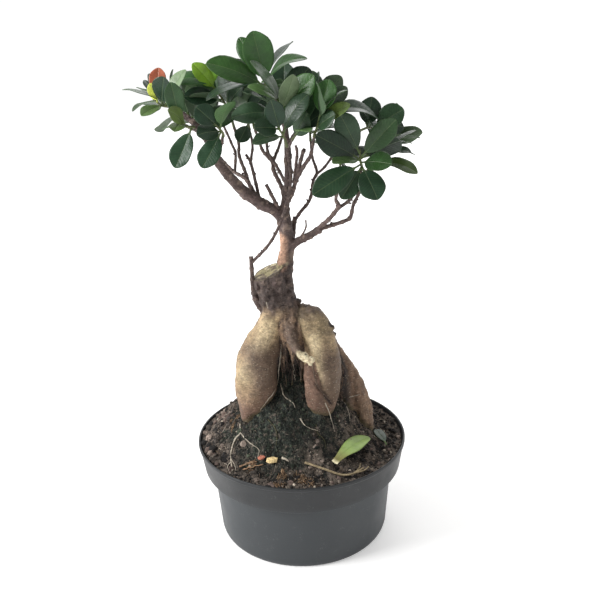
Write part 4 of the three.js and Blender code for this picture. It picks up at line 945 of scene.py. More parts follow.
def floor_finish():
    f = Finish("pale_floor")
    f.set(Base_Color=rgba("floor"), Roughness=0.8)
    far = f.node("VectorMath", {0: f.place}, operation="LENGTH").outputs["Value"]
    # The floor glows, as painted light: faintly near the plant and more far off, so that it fades into the
    # white room.
    f.set(Emission_Color=rgba("white"), Emission_Strength=f.step(far, 400, 1600, 0.3, 0.7))
    return f.material


POT_PLASTIC = pot_finish()
SOIL_BODY = soil_finish()
CRUMB = crumb_finish("soil_crumb", 0.9)
DRY = crumb_finish("dry_wood_and_bark", 0.75)
BARK = wood_finish()
LEAF = leaf_finish()


# The camera, where the photograph was taken from
def make_camera():
    data = bpy.data.cameras.new("camera")
    data.lens = LENS
    data.sensor_width = SENSOR_WIDTH
    data.shift_x, data.shift_y = (shift / PICTURE_SIZE for shift in PICTURE_SHIFT)
    data.clip_end = 20
    camera = in_scene("camera", data)
    camera.location = [distance * MM for distance in CAMERA_PLACE]
    level = Matrix.Rotation(math.radians(90 - CAMERA_DOWN), 3, "X")
    camera.rotation_euler = (level @ Matrix.Rotation(math.radians(CAMERA_ROLL), 3, "Z")).to_euler()
    bpy.context.scene.camera = camera


# The pot, with rounded edges and its drain holes
def round_corners(corners, radius):
    """Outline points with each inner corner replaced by a short curve."""
    out = [corners[0]]
    for before, corner, after in zip(corners, corners[1:], corners[2:]):
        before, corner, after = (np.array(p, float) for p in (before, corner, after))
        reach = min(radius, np.linalg.norm(corner - before) / 2.1, np.linalg.norm(after - corner) / 2.1)
        start = corner + reach * unit(before - corner)
        end = corner + reach * unit(after - corner)
        for t in (0, 0.33, 0.67, 1):
            out.append((1 - t) ** 2 * start + 2 * t * (1 - t) * corner + t * t * end)
    return out + [corners[-1]]


def lathe(outline, sides):
    """A closed mesh turned round Z from an outline that starts and ends on the axis."""
    mesh = bmesh.new()
    rings = []
    for r, z in outline:
        if r == 0:
            rings.append([mesh.verts.new((0, 0, z * MM))] * sides)
            continue
        places = [(r * math.cos(a) * MM, r * math.sin(a) * MM, z * MM) for a in circle(sides)]
        rings.append([mesh.verts.new(place) for place in places])
    for low, high in zip(rings, rings[1:]):
        for j in range(sides):
            corners = [low[j], low[(j + 1) % sides], high[(j + 1) % sides], high[j]]
            mesh.faces.new(list(dict.fromkeys(corners)))
    bmesh.ops.recalc_face_normals(mesh, faces=mesh.faces)
    made = bpy.data.meshes.new("lathe")
    mesh.to_mesh(made)
    mesh.free()
    return made


def pot_outline():
    """Radius and height round the pot's wall: up the outside, over the lip and down the inside."""
    inner = POT_RIM_RADIUS - POT_WALL
    return [
        (0, 0.8), (30, 0.8), (POT_BASE_RADIUS - 4, 0.8), (POT_BASE_RADIUS - 3, 0), (POT_BASE_RADIUS, 0),
        (POT_BASE_RADIUS + 1.3, 3), (STEP_RADIUS, STEP_HEIGHT - 1.2), (STEP_RADIUS + 1, STEP_HEIGHT),
        (BAND_RADIUS - 0.5, STEP_HEIGHT + 0.3), (BAND_RADIUS, STEP_HEIGHT + 0.6),
        (POT_RIM_RADIUS - 0.9, POT_HEIGHT - 3.2), (POT_RIM_RADIUS, POT_HEIGHT - 2.6),
        (POT_RIM_RADIUS, POT_HEIGHT), (inner, POT_HEIGHT),
        (BAND_RADIUS - POT_WALL, STEP_HEIGHT + POT_WALL), (STEP_RADIUS - POT_WALL, STEP_HEIGHT + POT_WALL),
        (POT_BASE_RADIUS, 2 * POT_FLOOR), (POT_BASE_RADIUS - POT_FLOOR, POT_FLOOR), (0, POT_FLOOR),
    ]


def drain_pegs():
    """Round pegs through the floor of the pot, where its drain holes are cut."""
    pile = Pile()
    for i in range(DRAIN_HOLES):
        angle = 2 * math.pi * (i + 0.5) / DRAIN_HOLES
        x, y = DRAIN_RING * math.cos(angle), DRAIN_RING * math.sin(angle)
        pile.add(*tube(np.array([(x, y, -4, DRAIN_RADIUS), (x, y, 6, DRAIN_RADIUS)]), DRAIN_SIDES))
    return in_scene("holes", pile.mesh("holes"))


def make_pot():
    pot = in_scene("pot_shell", lathe(round_corners(pot_outline(), POT_ROUNDING), POT_SIDES))
    pegs = drain_pegs()
    cut = pot.modifiers.new("drain", "BOOLEAN")
    cut.object = pegs
    cut.operation = "DIFFERENCE"
    mesh = baked(pot)
    bpy.data.objects.remove(pegs)
    mesh.name = "pot_shell"
    mesh.shade_smooth()
    mesh.set_sharp_from_angle(angle=math.radians(SHARP_FROM))
    piece("pot_shell", mesh, "pot", POT_PLASTIC, "pot")


# The soil, its crumbs and the threads in it
def soil_height(x, y):
    mound, reach, power = SOIL_MOUND
    heap, heap_reach = SOIL_HEAP
    away = np.hypot(x - SOIL_CENTRE[0], y - SOIL_CENTRE[1]) / reach
    inner = np.hypot(x - SOIL_HEAP_CENTRE[0], y - SOIL_HEAP_CENTRE[1]) / heap_reach
    lumps = 1.2 * np.sin(x / 5.3 + 1) * np.sin(y / 4.7) + 0.8 * np.sin(x / 2.9 + y / 3.7)
    calm = np.clip((82 - np.hypot(x, y)) / 8, 0, 1)
    return SOIL_RIM_LEVEL + mound * np.exp(-(away**power)) + heap * np.exp(-(inner**2)) + lumps * calm


def flat(x, y):
    """Places on the soil as points of height 0."""
    return np.stack([x, y, 0 * x], -1)


def soil_surface(x, y):
    """The finer surface of the soil, with clods and crevices."""
    at = flat(x, y)
    calm = np.clip((SOIL_EDGE - np.hypot(x, y)) / 6, 0.1, 1)
    clods = 0.5 - np.abs(ripple(at, 7, 2, shift=7))
    crumbs = 0.3 - np.abs(ripple(at, 2.6, 2, shift=3))
    return soil_height(x, y) + calm * (1.1 * ripple(at, 15) + 2.2 * clods + 1.5 * crumbs)


def moss_share(x, y):
    """How mossy the soil is: most on the mound between the roots."""
    patches = ripple(flat(x, y), 16, 2, shift=21)
    return smoothstep(np.hypot(0.8 * (x + 12), 0.8 * (y + 24)) + 11 * patches, 44, 22)


def soil_shade(x, y):
    """How bright the soil is from place to place, in patches."""
    return 1 + 0.55 * ripple(flat(x, y), 19, 3, shift=33)


def make_soil():
    angle = circle(SOIL_SIDES)
    rings = []
    for radius, z in SOIL_RINGS_BELOW:
        rings.append(np.stack([radius * np.cos(angle), radius * np.sin(angle), z + 0 * angle], -1))
    for radius in (*np.arange(SOIL_EDGE, 1, -SOIL_STEP), 0.1):
        x, y = radius * np.cos(angle), radius * np.sin(angle)
        rings.append(np.stack([x, y, soil_surface(x, y)], -1))
    points = np.vstack(rings)
    first = list(range(SOIL_SIDES))
    last = [len(points) - SOIL_SIDES + i for i in first]
    faces = ring_quads(len(rings), SOIL_SIDES) + [first[::-1], last]
    x, y, _ = points.T
    pile = Pile()
    pile.add(points, faces, moss=moss_share(x, y), shade=soil_shade(x, y))
    piece("soil_body", pile.mesh("soil_body"), "soil", SOIL_BODY, "soil")


def lump_form(rounds):
    """A rough pebble of unit size: its corners and triangles."""
    ball = bmesh.new()
    bmesh.ops.create_icosphere(ball, subdivisions=rounds, radius=1)
    points = np.array([v.co[:] for v in ball.verts])
    faces = [[v.index for v in f.verts] for f in ball.faces]
    ball.free()
    return points, faces


def turned(points, draw):
    """Points turned by random amounts about two axes."""
    spin, tilt = (Matrix.Rotation(ABOUT_A_TURN * draw(), 3, axis) for axis in "ZX")
    return points @ np.array(spin @ tilt)


def pick_tone(tones, draw):
    share = draw()
    for tone, part in tones:
        share -= part
        if share < 0:
            break
    return srgb(tone) * (0.8 + 0.4 * draw())


def spot_on_soil(draw, edge=81.5):
    """A place on the soil, with its height, its share of moss and its shade."""
    radius = edge * math.sqrt(draw())
    angle = FULL_TURN * draw()
    x, y = radius * math.cos(angle), radius * math.sin(angle)
    at = np.array([x]), np.array([y])
    return x, y, *(float(find(*at)[0]) for find in (soil_surface, moss_share, soil_shade))


def add_clod(pile, form, faces, draw):
    """A boxy clod, larger at the left of the pot and smaller in the moss."""
    x, y, level, mossy, shade = spot_on_soil(draw)
    size = (1.3 + 2.2 * draw() ** 2 + 0.6 * (x < -35)) * (1 - 0.45 * mossy)
    boxy = np.sign(form) * np.abs(form) ** 0.7
    dents = 0.9 + 0.5 * ripple(form, 0.9, 2, shift=50 * draw())
    stretch = vec(1, 0.6 + 0.4 * draw(), 0.45 + 0.35 * draw())
    points = turned(boxy * dents[:, None] * stretch * size, draw) + vec(x, y, level - 0.15 * size)
    tones = MOSS_TONES if draw() < mossy else CLOD_TONES
    pile.add(points, faces, tone=shade * pick_tone(tones, draw))


def add_crumb(pile, form, faces, draw):
    """A small flat crumb with rough corners."""
    x, y, level, mossy, shade = spot_on_soil(draw)
    size = 0.4 + 1.1 * draw() ** 3
    stretch = vec(1, 0.4 + 0.5 * draw(), 0.35 + 0.5 * draw())
    rough = form * (0.7 + 0.6 * np.array([draw() for _ in form]))[:, None]
    tones = MOSS_TONES if draw() < mossy else CRUMB_TONES
    points = turned(rough * stretch * size, draw) + vec(x, y, level + 0.1 * size)
    pile.add(points, faces, tone=shade * pick_tone(tones, draw))


def make_crumbs():
    """Clods and smaller crumbs, all over the soil."""
    draw = seeded(CRUMB_SEED)
    pile = Pile()
    for count, rounds, add in ((CLODS, 2, add_clod), (CRUMBS, 1, add_crumb)):
        form, faces = lump_form(rounds)
        for _ in range(count):
            add(pile, form, faces, draw)
    mesh = pile.mesh("soil_crumbs")
    mesh.shade_flat()
    piece("soil_crumbs", mesh, "soil", CRUMB)


def fibre_line(x, y, size, thick, draw):
    """A bent fibre that lies on the soil, as rows of x, y, z and radius."""
    heading = FULL_TURN * draw()
    bend = 1.8 * (draw() - 0.5)
    steps = np.linspace(0, 1, 6)
    xs = x + size * np.cumsum(np.cos(heading + bend * steps)) / 6
    ys = y + size * np.cumsum(np.sin(heading + bend * steps)) / 6
    inside = np.minimum(1, 80.5 / np.hypot(xs, ys))
    xs, ys = xs * inside, ys * inside
    lift = 0.2 + 1.2 * draw() * np.sin(math.pi * steps)
    return np.stack([xs, ys, soil_surface(xs, ys) + lift, thick * (1.1 - 0.5 * steps)], -1)


def moss_blade(x, y, level, draw):
    """A short blade with three sides, as points and faces."""
    tall = 0.7 + 1.3 * draw()
    foot = 0.3 + 0.2 * draw()
    angles = FULL_TURN * draw() + np.array([0, 2.1, 4.2])
    base = [(x + foot * math.cos(a), y + foot * math.sin(a), level - 0.4) for a in angles]
    tip = (x + 0.9 * (draw() - 0.5), y + 0.9 * (draw() - 0.5), level + tall)
    return np.array([*base, tip]), [[0, 2, 1], [0, 1, 3], [1, 2, 3], [2, 0, 3]]


def add_fibres(pile, draw):
    for _ in range(FIBRES):
        x, y, _, mossy, _ = spot_on_soil(draw, 79)
        tones = MOSS_FIBRE_TONES if draw() < mossy else FIBRE_TONES
        line = fibre_line(x, y, 2.5 + 8 * draw() ** 2, 0.11 + 0.14 * draw() ** 2, draw)
        pile.add(*tube(line, THREAD_SIDES), tone=pick_tone(tones, draw))


def add_tuft(pile, x, y, draw):
    for _ in range(TUFT_FIBRES):
        place = (x + 1.8 * (draw() - 0.5), y + 1.8 * (draw() - 0.5))
        line = fibre_line(*place, 1 + 2.2 * draw(), 0.14 + 0.16 * draw(), draw)
        pile.add(*tube(line, THREAD_SIDES), tone=pick_tone(TUFT_TONES, draw))


def add_tufts(pile, draw):
    for (x, y), reach, count in TUFTS:
        for _ in range(count):
            far = reach * math.sqrt(draw())
            angle = FULL_TURN * draw()
            add_tuft(pile, x + far * math.cos(angle), y + 0.7 * far * math.sin(angle), draw)


def add_moss(pile, draw):
    for _ in range(MOSS_TRIES):
        x, y, level, mossy, _ = spot_on_soil(draw)
        if draw() <= mossy:
            pile.add(*moss_blade(x, y, level, draw), tone=pick_tone(MOSS_TONES, draw))


def make_soil_threads():
    """Fine fibres, tufts of them, and short blades of moss on the soil."""
    draw = seeded(THREAD_SEED)
    pile = Pile()
    for add in (add_fibres, add_tufts, add_moss):
        add(pile, draw)
    piece("soil_threads", pile.mesh("soil_threads"), "soil", CRUMB)


# Swollen roots, stump, trunk and the thicker limbs as one skin
def root_swell(seed, count):
    def swell(angle, share):
        i = share * (count - 1)
        wide = 0.045 * np.sin(3 * angle + i * 0.9 + seed)
        return 1 + wide + 0.03 * np.sin(5 * angle - i * 1.7 + seed * 2)

    return swell


def bark_swell(angle, share):
    return 1 + 0.05 * np.sin(4 * angle + share * 8.4) + 0.04 * np.sin(7 * angle + share * 4)


def wood_lines():
    lines = {name: smooth_line(points, 1.5) for name, points in ROOTS.items()}
    lines["stump"] = smooth_line(STUMP, 1.5)
    lines["stub"] = smooth_line(ROOT_STUB, 1)
    lines["trunk"] = smooth_line(TRUNK, 1.5)
    for name in THICK_LIMBS:
        lines[name] = slimmed(smooth_line(LIMBS[name], 1.5))
    for i, points in enumerate(STRANDS):
        lines[f"strand_{i}"] = smooth_line(points, 1)
    return lines


def slimmed(line):
    line[:, 3] *= LIMB_SLIMMING
    return line


def cut_stump(points):
    """Points of the stump with those above the slanting cut brought down to it."""
    nx, ny, nz = CUT_NORMAL
    cx, cy, cz = CUT_POINT
    level = cz - (nx * (points[:, 0] - cx) + ny * (points[:, 1] - cy)) / nz
    points[:, 2] = np.minimum(points[:, 2], level)
    return points


def wood_skin(lines):
    pile = Pile()
    for seed, name in enumerate(ROOTS):
        pile.add(*tube(lines[name], ROOT_SIDES, root_swell(seed, len(ROOTS[name]))))
    stump, faces = tube(lines["stump"], STUMP_SIDES, bark_swell)
    pile.add(cut_stump(stump), faces)
    pile.add(*tube(lines["stub"], STUB_SIDES))
    for name in ("trunk", *THICK_LIMBS):
        pile.add(*tube(lines[name] + vec(0, 0, 0, SKIN_SHRINK), TRUNK_SIDES, bark_swell))
    for i in range(len(STRANDS)):
        pile.add(*tube(lines[f"strand_{i}"], TWIG_SIDES))
    for x, y, z, radius in KNOBS:
        form, faces = lump_form(2)
        pile.add(form * radius + vec(x, y, z), faces)
    return remeshed(pile.mesh("wood"), SKIN_VOXEL, SMOOTHING_ROUNDS)


def near_line(points, line, reach, core=0):
    """1 on a line of points, falling smoothly to 0 at the given distance from it."""
    best = np.full(len(points), np.inf)
    line = np.array(line, float)
    for a, b in zip(line, line[1:]):
        way = b - a
        share = np.clip((points - a) @ way / (way @ way), 0, 1)
        best = np.minimum(best, np.linalg.norm(points - a - share[:, None] * way, axis=1))
    return smoothstep(best, reach, core)


def nearest_parts(points, lines):
    """The name of the line nearest to each point, measured from its surface."""
    names = list(lines)
    gaps = []
    for name in names:
        line = lines[name]
        tree = kdtree.KDTree(len(line))
        for i, row in enumerate(line):
            tree.insert(row[:3], i)
        tree.balance()
        found = [tree.find(p) for p in points.tolist()]
        gaps.append([d - line[i, 3] for _, i, d in found])
    return names, np.array(gaps)


class Skin:
    """What is known at each point of the wood's skin: its part, its grain and its tone."""

    def __init__(self, points, lines):
        self.points = points
        self.x, self.y, self.z = points.T
        self.find_parts(lines)
        self.find_grain()
        self.tone = np.tile(srgb(WOOD["tan"]), (len(points), 1))

    def find_parts(self, lines):
        """How much each point belongs to each part, from 0 to 1."""
        names, gaps = nearest_parts(self.points, lines)
        nearest = gaps.min(axis=0)
        own = {name: smoothstep(gap - nearest, PART_BLEND, 0) for name, gap in zip(names, gaps)}
        self.own = own
        self.strands = np.max([own[name] for name in names if name.startswith("strand")], axis=0)
        self.hanging = np.maximum(own["middle_root"], self.strands)
        self.slender = np.maximum(own["right_root"], own["side_root"])
        self.rear = np.maximum(own["back_root"], own["back_left_root"])
        self.roots = 1 - smoothstep(self.z, *ROOTS_END)
        self.neck = smoothstep(self.z + 5 * self.ripple(7, 2, shift=51), *NECK_START)
        self.neck *= 1 - smoothstep(self.z, *NECK_END)
        self.trunk = smoothstep(self.z, *TRUNK_START)
        height = (self.points - np.array(CUT_POINT)) @ unit(np.array(CUT_NORMAL))
        face = smoothstep(height, -1.2, -0.4) * smoothstep(height, 1.8, 0.8)
        reach = np.linalg.norm(self.points - CUT_POINT, axis=1)
        self.cut = face * own["stump"] * smoothstep(reach, *CUT_REACH)
        self.rim = self.cut * smoothstep(gaps[names.index("stump")], -2.6, -0.8)

    def find_grain(self):
        """Patterns from about -1 to 1, which give both relief and tone."""
        self.plates = 0.4 - np.abs(self.ripple(6, 3, (1, 1, 0.45), 2))
        self.ridges = self.ripple(4.5, 3, (1, 1, 0.3))
        self.lumps = self.ripple(13, 3, shift=5)
        self.knots = smoothstep(self.ripple(4, 2, shift=8), 0.2, 0.55)
        self.strings = self.ripple(2.6, 3, (1, 1, 0.22), 17)
        self.crack = self.near(CRACK, 1.9, 0.5)
        self.crease = self.near(CREASE, 3.5)

    def ripple(self, *form, **more):
        return ripple(self.points, *form, **more)

    def patches(self, low, high, *form, **more):
        """Soft patches from 0 to 1."""
        return smoothstep(self.ripple(*form, **more), low, high)

    def near(self, line, reach, core=0):
        return near_line(self.points, line, reach, core)

    def paint(self, mask, colour):
        self.tone += np.clip(mask, 0, 1)[:, None] * (srgb(WOOD[colour]) - self.tone)

    def relief(self):
        """How far each point is moved outwards."""
        own, strings = self.own, self.strings
        wrinkles = self.ripple(3, 3, (0.6, 0.6, 1.4), 3)
        fine = self.ripple(1.7, 2, (0.8, 0.8, 1.2), 13)
        lift = self.roots * (0.8 * self.lumps + 0.4 * wrinkles + 0.16 * fine)
        lift = lift - 1.1 * self.crack - 0.9 * self.crease
        lift += self.roots * (0.5 * self.slender + 0.9 * (self.strands + own["middle_root"])) * strings
        lift += self.neck * (1 - self.cut) * (2.1 * self.plates + 0.9 * self.ridges + 0.3 * wrinkles)
        lift += self.trunk * (0.45 * self.ridges + 0.8 * self.knots)
        return lift + self.cut * 0.35 * self.ridges + own["stub"] * 0.5 * wrinkles


def paint_tubers(skin):
    x, z, own, paint = skin.x, skin.z, skin.own, skin.paint
    left, centre, lobe = own["left_tuber"], own["centre_tuber"], own["front_lobe"]
    gap_side_shade = smoothstep(x + 0.3 * (z - 130), -47, -25) * smoothstep(z, 178, 158)
    paint(skin.patches(-0.4, 0.3, 16, 2, shift=9) * 0.85, "gold")
    paint(0.3 * skin.patches(0.1, 0.5, 7, 3, (1, 1, 1.8), 31), "olive")
    for line, reach, core, share in HIGHLIGHT_BANDS:
        # Painted highlights: the light tone in bands on the lit fronts of the tubers.
        paint(skin.near(line, reach, core) * share, "light")
    # Painted shade: the left tuber darkens to umber on its side towards the gap, away from the light.
    paint(0.95 * left * gap_side_shade, "umber")
    # The left tuber turns pink-brown lower down: partly its own tone, partly painted shade.
    paint(left * smoothstep(z, 142, 112), "pink")
    paint(lobe, "pink")
    # Painted shade: the centre tuber's right side, away from the light, darkens to umber.
    paint(0.9 * centre * smoothstep(x, 11, 21) * smoothstep(z, 172, 156), "umber")
    # Painted shade in the crease of the centre tuber.
    paint(0.45 * skin.crease, "umber")
    paint(0.85 * centre * smoothstep(z, 134, 110), "pink")
    paint(0.45 * lobe * smoothstep(z, 116, 104), "olive")


def paint_thin_roots(skin):
    """The slanting right root, those that hang in the gap and those at the back."""
    x, y, z, own, paint = skin.x, skin.y, skin.z, skin.own, skin.paint
    hanging, rear, strings = skin.hanging, skin.rear, skin.strings
    paint(0.8 * skin.slender, "pink")
    paint(0.5 * skin.slender * smoothstep(strings, 0, 0.4), "umber")
    paint(hanging * 0.85, "brown")
    paint(hanging * smoothstep(z, 158, 172) * 0.9, "ochre")
    paint(hanging * smoothstep(z, 158, 140) * 0.7, "shade")
    # Painted shade in the grooves between the strands of the hanging roots.
    paint(0.8 * hanging * smoothstep(strings, 0.05, -0.35) * skin.roots, "dark")
    paint(rear * 0.8, "pink")
    paint(rear * 0.5 * skin.patches(0, 0.5, 9, 3, shift=71), "umber")
    paint(rear * smoothstep(y, 26, 14) * smoothstep(np.abs(x + 4), 24, 14), "shade")
    paint(own["side_root"] * smoothstep(x, 44, 36), "shade")
    paint(own["centre_tuber"] * smoothstep(z, 166, 178) * 0.7, "olive")


def paint_stub(skin):
    """The cut root between the tubers, with its pale face and two dark lines."""
    x, y, z, stub, paint = skin.x, skin.y, skin.z, skin.own["stub"], skin.paint
    paint(stub * smoothstep(y, -14, -20), "stub")
    # Painted shade: the stub darkens on its right, shaded side.
    paint(stub * smoothstep(x - 0.4 * (z - 165), -1, 3) * smoothstep(y, -34, -31) * 0.7, "dark")
    paint(stub * smoothstep(y, -32.5, -34), "cream")
    paint(stub * smoothstep(y, -32, -34) * skin.patches(0, 0.4, 3, 2, shift=3) * 0.7, "tan")
    for line, reach, core, share in STUB_LINES:
        paint(stub * skin.near(line, reach, core) * share, "dark")


def paint_bark(skin):
    """The dark neck, the trunk above it, the orange fork, the crack and the scab."""
    z, neck, trunk, paint = skin.z, skin.neck, skin.trunk, skin.paint
    knots, ridges = skin.knots, skin.ridges
    paint(neck, "neck")
    paint(neck * smoothstep(skin.plates, 0, -0.35), "dark")
    paint(neck * smoothstep(ridges, 0.1, 0.5) * 0.5, "bark")
    paint(neck * knots * 0.4, "fleck")
    paint(skin.patches(-0.2, 0.4, 5, 3, (1, 1, 0.5), 44) * smoothstep(z, 200, 182) * neck, "ochre")
    paint(trunk, "bark")
    paint(trunk * smoothstep(ridges, 0.05, 0.4) * 0.5, "dark")
    paint(trunk * knots * 0.6, "fleck")
    # Pale orange on the trunk's left side: partly its own bark, partly painted light where the light falls.
    paint(skin.near([(-15, -7, 226), (-13, -6, 243)], 9, 4) * 0.9, "orange")
    paint(skin.near([(-17, -6, 228.5), (-11, -8, 230.5), (-6, -7, 230)], 1.3) * 0.6, "neck")
    # Painted shade: a dark line in the crack between the front lobe and the centre tuber.
    paint(skin.crack, "dark")
    paint(skin.near(SCAB, 3.4, 1.6), "dark")


def paint_soil_line(skin):
    depth = skin.z - soil_height(skin.x, skin.y)
    skin.paint(0.7 * smoothstep(depth + 3 * skin.lumps, 8, 1) * skin.roots, "stain")


def paint_cut(skin):
    skin.paint(skin.cut, "cut")
    skin.paint(skin.cut * skin.patches(0, 0.4, 7, 3, shift=12) * 0.7, "cream")
    skin.paint(skin.cut * skin.patches(0.1, 0.45, 5, 3, shift=61) * 0.8, "umber")
    skin.paint(skin.rim * 0.9, "neck")


def make_wood():
    lines = wood_lines()
    mesh = wood_skin(lines)
    skin = Skin(points_of(mesh), lines)
    move_points(mesh, skin.points + normals_of(mesh) * skin.relief()[:, None])
    for paint_part in (paint_tubers, paint_thin_roots, paint_stub, paint_bark, paint_soil_line, paint_cut):
        paint_part(skin)
    write_values(mesh, "tone", skin.tone)
    write_values(mesh, "rough", 0.45 + 0.9 * skin.neck * (1 - skin.cut) + 0.35 * skin.trunk)
    mesh.shade_smooth()
    piece("swollen_roots", mesh, "wood", BARK, "roots_and_branches")


def lay_root(pile, draw, points, radius, tone, wander):
    """A thin root that wanders a little off the line through its points and thins towards its end."""
    line = smooth_line([(*p, radius) for p in points], 1)
    share = np.linspace(0, 1, len(line))
    shift = 90 * draw()
    for axis in range(3):
        line[:, axis] += wander * ripple(line[:, :3], 3, 2, shift=shift + 9 * axis)
    line[:, 3] *= 1.1 - 0.5 * share
    pile.add(*tube(line, FINE_ROOT_SIDES), tone=srgb(WOOD[tone]) * (0.85 + 0.3 * draw()), rough=0.3)


def lay_gap_root(pile, draw, share):
    """A thin root that hangs between the two tubers."""
    top = (-15 + 13 * share, -15 - 2 * draw(), 176 - 8 * draw())
    upper = (-14.5 + 12 * share + 3 * draw(), -18 - 2 * draw(), 162 - 4 * draw())
    low = (-14 + 12 * share + 5 * draw(), -18 - 3 * draw(), 150 - 18 * draw())
    tone = GAP_ROOT_TONES[int(6 * draw())]
    lay_root(pile, draw, [top, upper, low], 0.25 + 0.45 * draw() ** 2, tone, 1.5)


def lay_side_root(pile, draw, share):
    """A thin root below the slanting right root."""
    top = (30 + 8 * share, -9 + 3 * share, 150 - 16 * share)
    low = (31 + 9 * share, -11 + 2 * share, 112 - 4 * share)
    middle = (31.5 + 8 * share, -9.5 + 2 * share, 130 - 8 * share)
    radius = 0.3 + 0.4 * draw()
    tone = SIDE_ROOT_TONES[int(3 * draw())]
    lay_root(pile, draw, [top, middle, low], radius, tone, 0.9)


def make_fine_roots():
    """Thin roots that lie on the tubers and the soil, and those that hang in the gaps."""
    draw = seeded(FINE_ROOT_SEED)
    pile = Pile()
    for tone, radius, points in FINE_ROOTS:
        lay_root(pile, draw, points, radius, tone, 0.9 if tone == "sand" else 0.25)
    for count, lay in ((GAP_ROOTS, lay_gap_root), (SIDE_ROOTS, lay_side_root)):
        for i in range(count):
            lay(pile, draw, (i + draw()) / count)
    piece("fine_roots", pile.mesh("fine_roots"), "wood", BARK)


def add_spur(pile, row, way, tone, draw):
    """A short side shoot on a twig, which leans forward along it."""
    around = FULL_TURN * draw()
    side = any_side(way)
    out = side * math.cos(around) + np.cross(way, side) * math.sin(around)
    aim = unit(out + 0.8 * way)
    reach = row[3] + 0.6 + 1.6 * draw()
    spur = [(*(row[:3] + aim * reach * t), row[3] * (0.62 - 0.2 * t)) for t in (0, 0.5, 1)]
    pile.add(*tube(np.array(spur), SPUR_SIDES), tone=tone * 0.8, rough=0.6)


def add_twig(pile, points, draw):
    line = slimmed(smooth_line(points, 1))
    steps = np.arange(len(line))
    spacing = 5 + 4 * draw()
    swell = np.exp(-(((steps + 9 * draw()) % spacing - spacing / 2) ** 2) / 0.7)
    line[:, 3] *= 0.9 + 0.24 * swell
    tone = srgb(WOOD["bark"]) * (0.75 + 0.4 * draw())
    made, faces = tube(line, TWIG_SIDES, lambda angle, share: 1 + 0.06 * np.sin(3 * angle + 20 * share))
    rings = np.concatenate([np.repeat(swell, TWIG_SIDES), [0, 0]])
    tones = tone + 0.35 * rings[:, None] * (srgb(WOOD["fleck"]) - tone)
    pile.add(made, faces, tone=tones, rough=0.6)
    for row, way in zip(line[4:-3], np.diff(line[:, :3], axis=0)[4:-3]):
        if draw() <= SPUR_SHARE:
            add_spur(pile, row, unit(way), tone, draw)


def make_twigs():
    """The thinner branches, with a ring at each old leaf and a short spur here and there."""
    draw = seeded(TWIG_SEED)
    pile = Pile()
    for name, points in LIMBS.items():
        if name not in THICK_LIMBS:
            add_twig(pile, points, draw)
    piece("twigs", pile.mesh("twigs"), "wood", BARK, "roots_and_branches")


# Where the leaves stand: the same places, in the same order, as in the CAD
def new_leaf(base, tip, width, facing, arch, kind):
    return {"base": base, "tip": tip, "width": width, "facing": facing, "arch": arch, "kind": kind}


def leaf_frame(leaf):
    along = leaf["tip"] - leaf["base"]
    size = np.linalg.norm(along)
    axis = along / size
    normal = across(np.array(leaf["facing"], float), axis)
    return size, axis, normal, np.cross(normal, axis)


def half_width(leaf, share):
    blade = np.clip((share - PETIOLE_SHARE) / (1 - PETIOLE_SHARE), 0, 1)
    return leaf["width"] * blade**0.7 * np.sqrt(1 - blade**1.4)


def blade_outline(leaf, share):
    """Half the width of a blade as it looks: widest past its middle, with a slight point."""
    if "stalkless" in leaf:
        wide = 0.36 + 0.64 * smoothstep(share, 0, 0.55)
        return 0.5 * leaf["width"] * wide * np.sqrt(1 - np.clip((share - 0.3) / 0.7, 0, 1) ** 2.8)
    blade = np.clip((share - PETIOLE_SHARE) / (1 - PETIOLE_SHARE), 0, 1)
    t = blade**1.24
    return leaf["width"] * np.sqrt(t * (1 - t)) * (1 - 0.2 * smoothstep(blade, 0.75, 1))


def leaf_line(leaf, share):
    size, axis, normal, _ = leaf_frame(leaf)
    lift = leaf["arch"] * size * 4 * share * (1 - share)
    return leaf["base"] + np.outer(size * share, axis) + np.outer(lift, normal)


def blade_lines(leaf):
    """Lines across the blade, as the two ends of each."""
    shares = np.array(LINE_SHARES)
    middle = leaf_line(leaf, shares)
    aside = np.outer(half_width(leaf, shares), leaf_frame(leaf)[3])
    return np.stack([middle + aside, middle - aside], 1)


def narrowest_gap(lines, others):
    """Shortest distance between any two of two sets of straight lines."""
    p1, p2 = lines[:, None, 0], others[None, :, 0]
    d1, d2 = lines[:, None, 1] - p1, others[None, :, 1] - p2
    r = p1 - p2
    a, e = (d1 * d1).sum(-1), (d2 * d2).sum(-1)
    b, c, f = (d1 * d2).sum(-1), (d1 * r).sum(-1), (d2 * r).sum(-1)
    det = a * e - b * b
    safe_a, safe_e, safe_det = (np.where(v > 1e-9, v, 1) for v in (a, e, det))
    s = np.where(det > 1e-9, np.clip((b * f - c * e) / safe_det, 0, 1), 0)
    t = np.where(e > 1e-9, (b * s + f) / safe_e, 0)
    outside = (t < 0) | (t > 1)
    t = np.clip(t, 0, 1)
    s = np.where(outside, np.where(a > 1e-9, np.clip((b * t - c) / safe_a, 0, 1), 0), s)
    return np.linalg.norm(r + d1 * s[..., None] - d2 * t[..., None], axis=-1).min()


def shoot_stem(twig, path):
    end, before = np.array(LIMBS[twig][-1][:3], float), np.array(LIMBS[twig][-2][:3], float)
    way = unit(end - before)
    return [end + GAP * way, end + 2 * way, *(np.array(p, float) for p in path)]


def point_on_stem(points, share):
    steps = [np.linalg.norm(b - a) for a, b in zip(points, points[1:])]
    left = share * sum(steps)
    for i, step in enumerate(steps):
        if left <= step or i == len(steps) - 1:
            way = unit(points[i + 1] - points[i])
            return points[i] + way * min(left, step), way
        left -= step


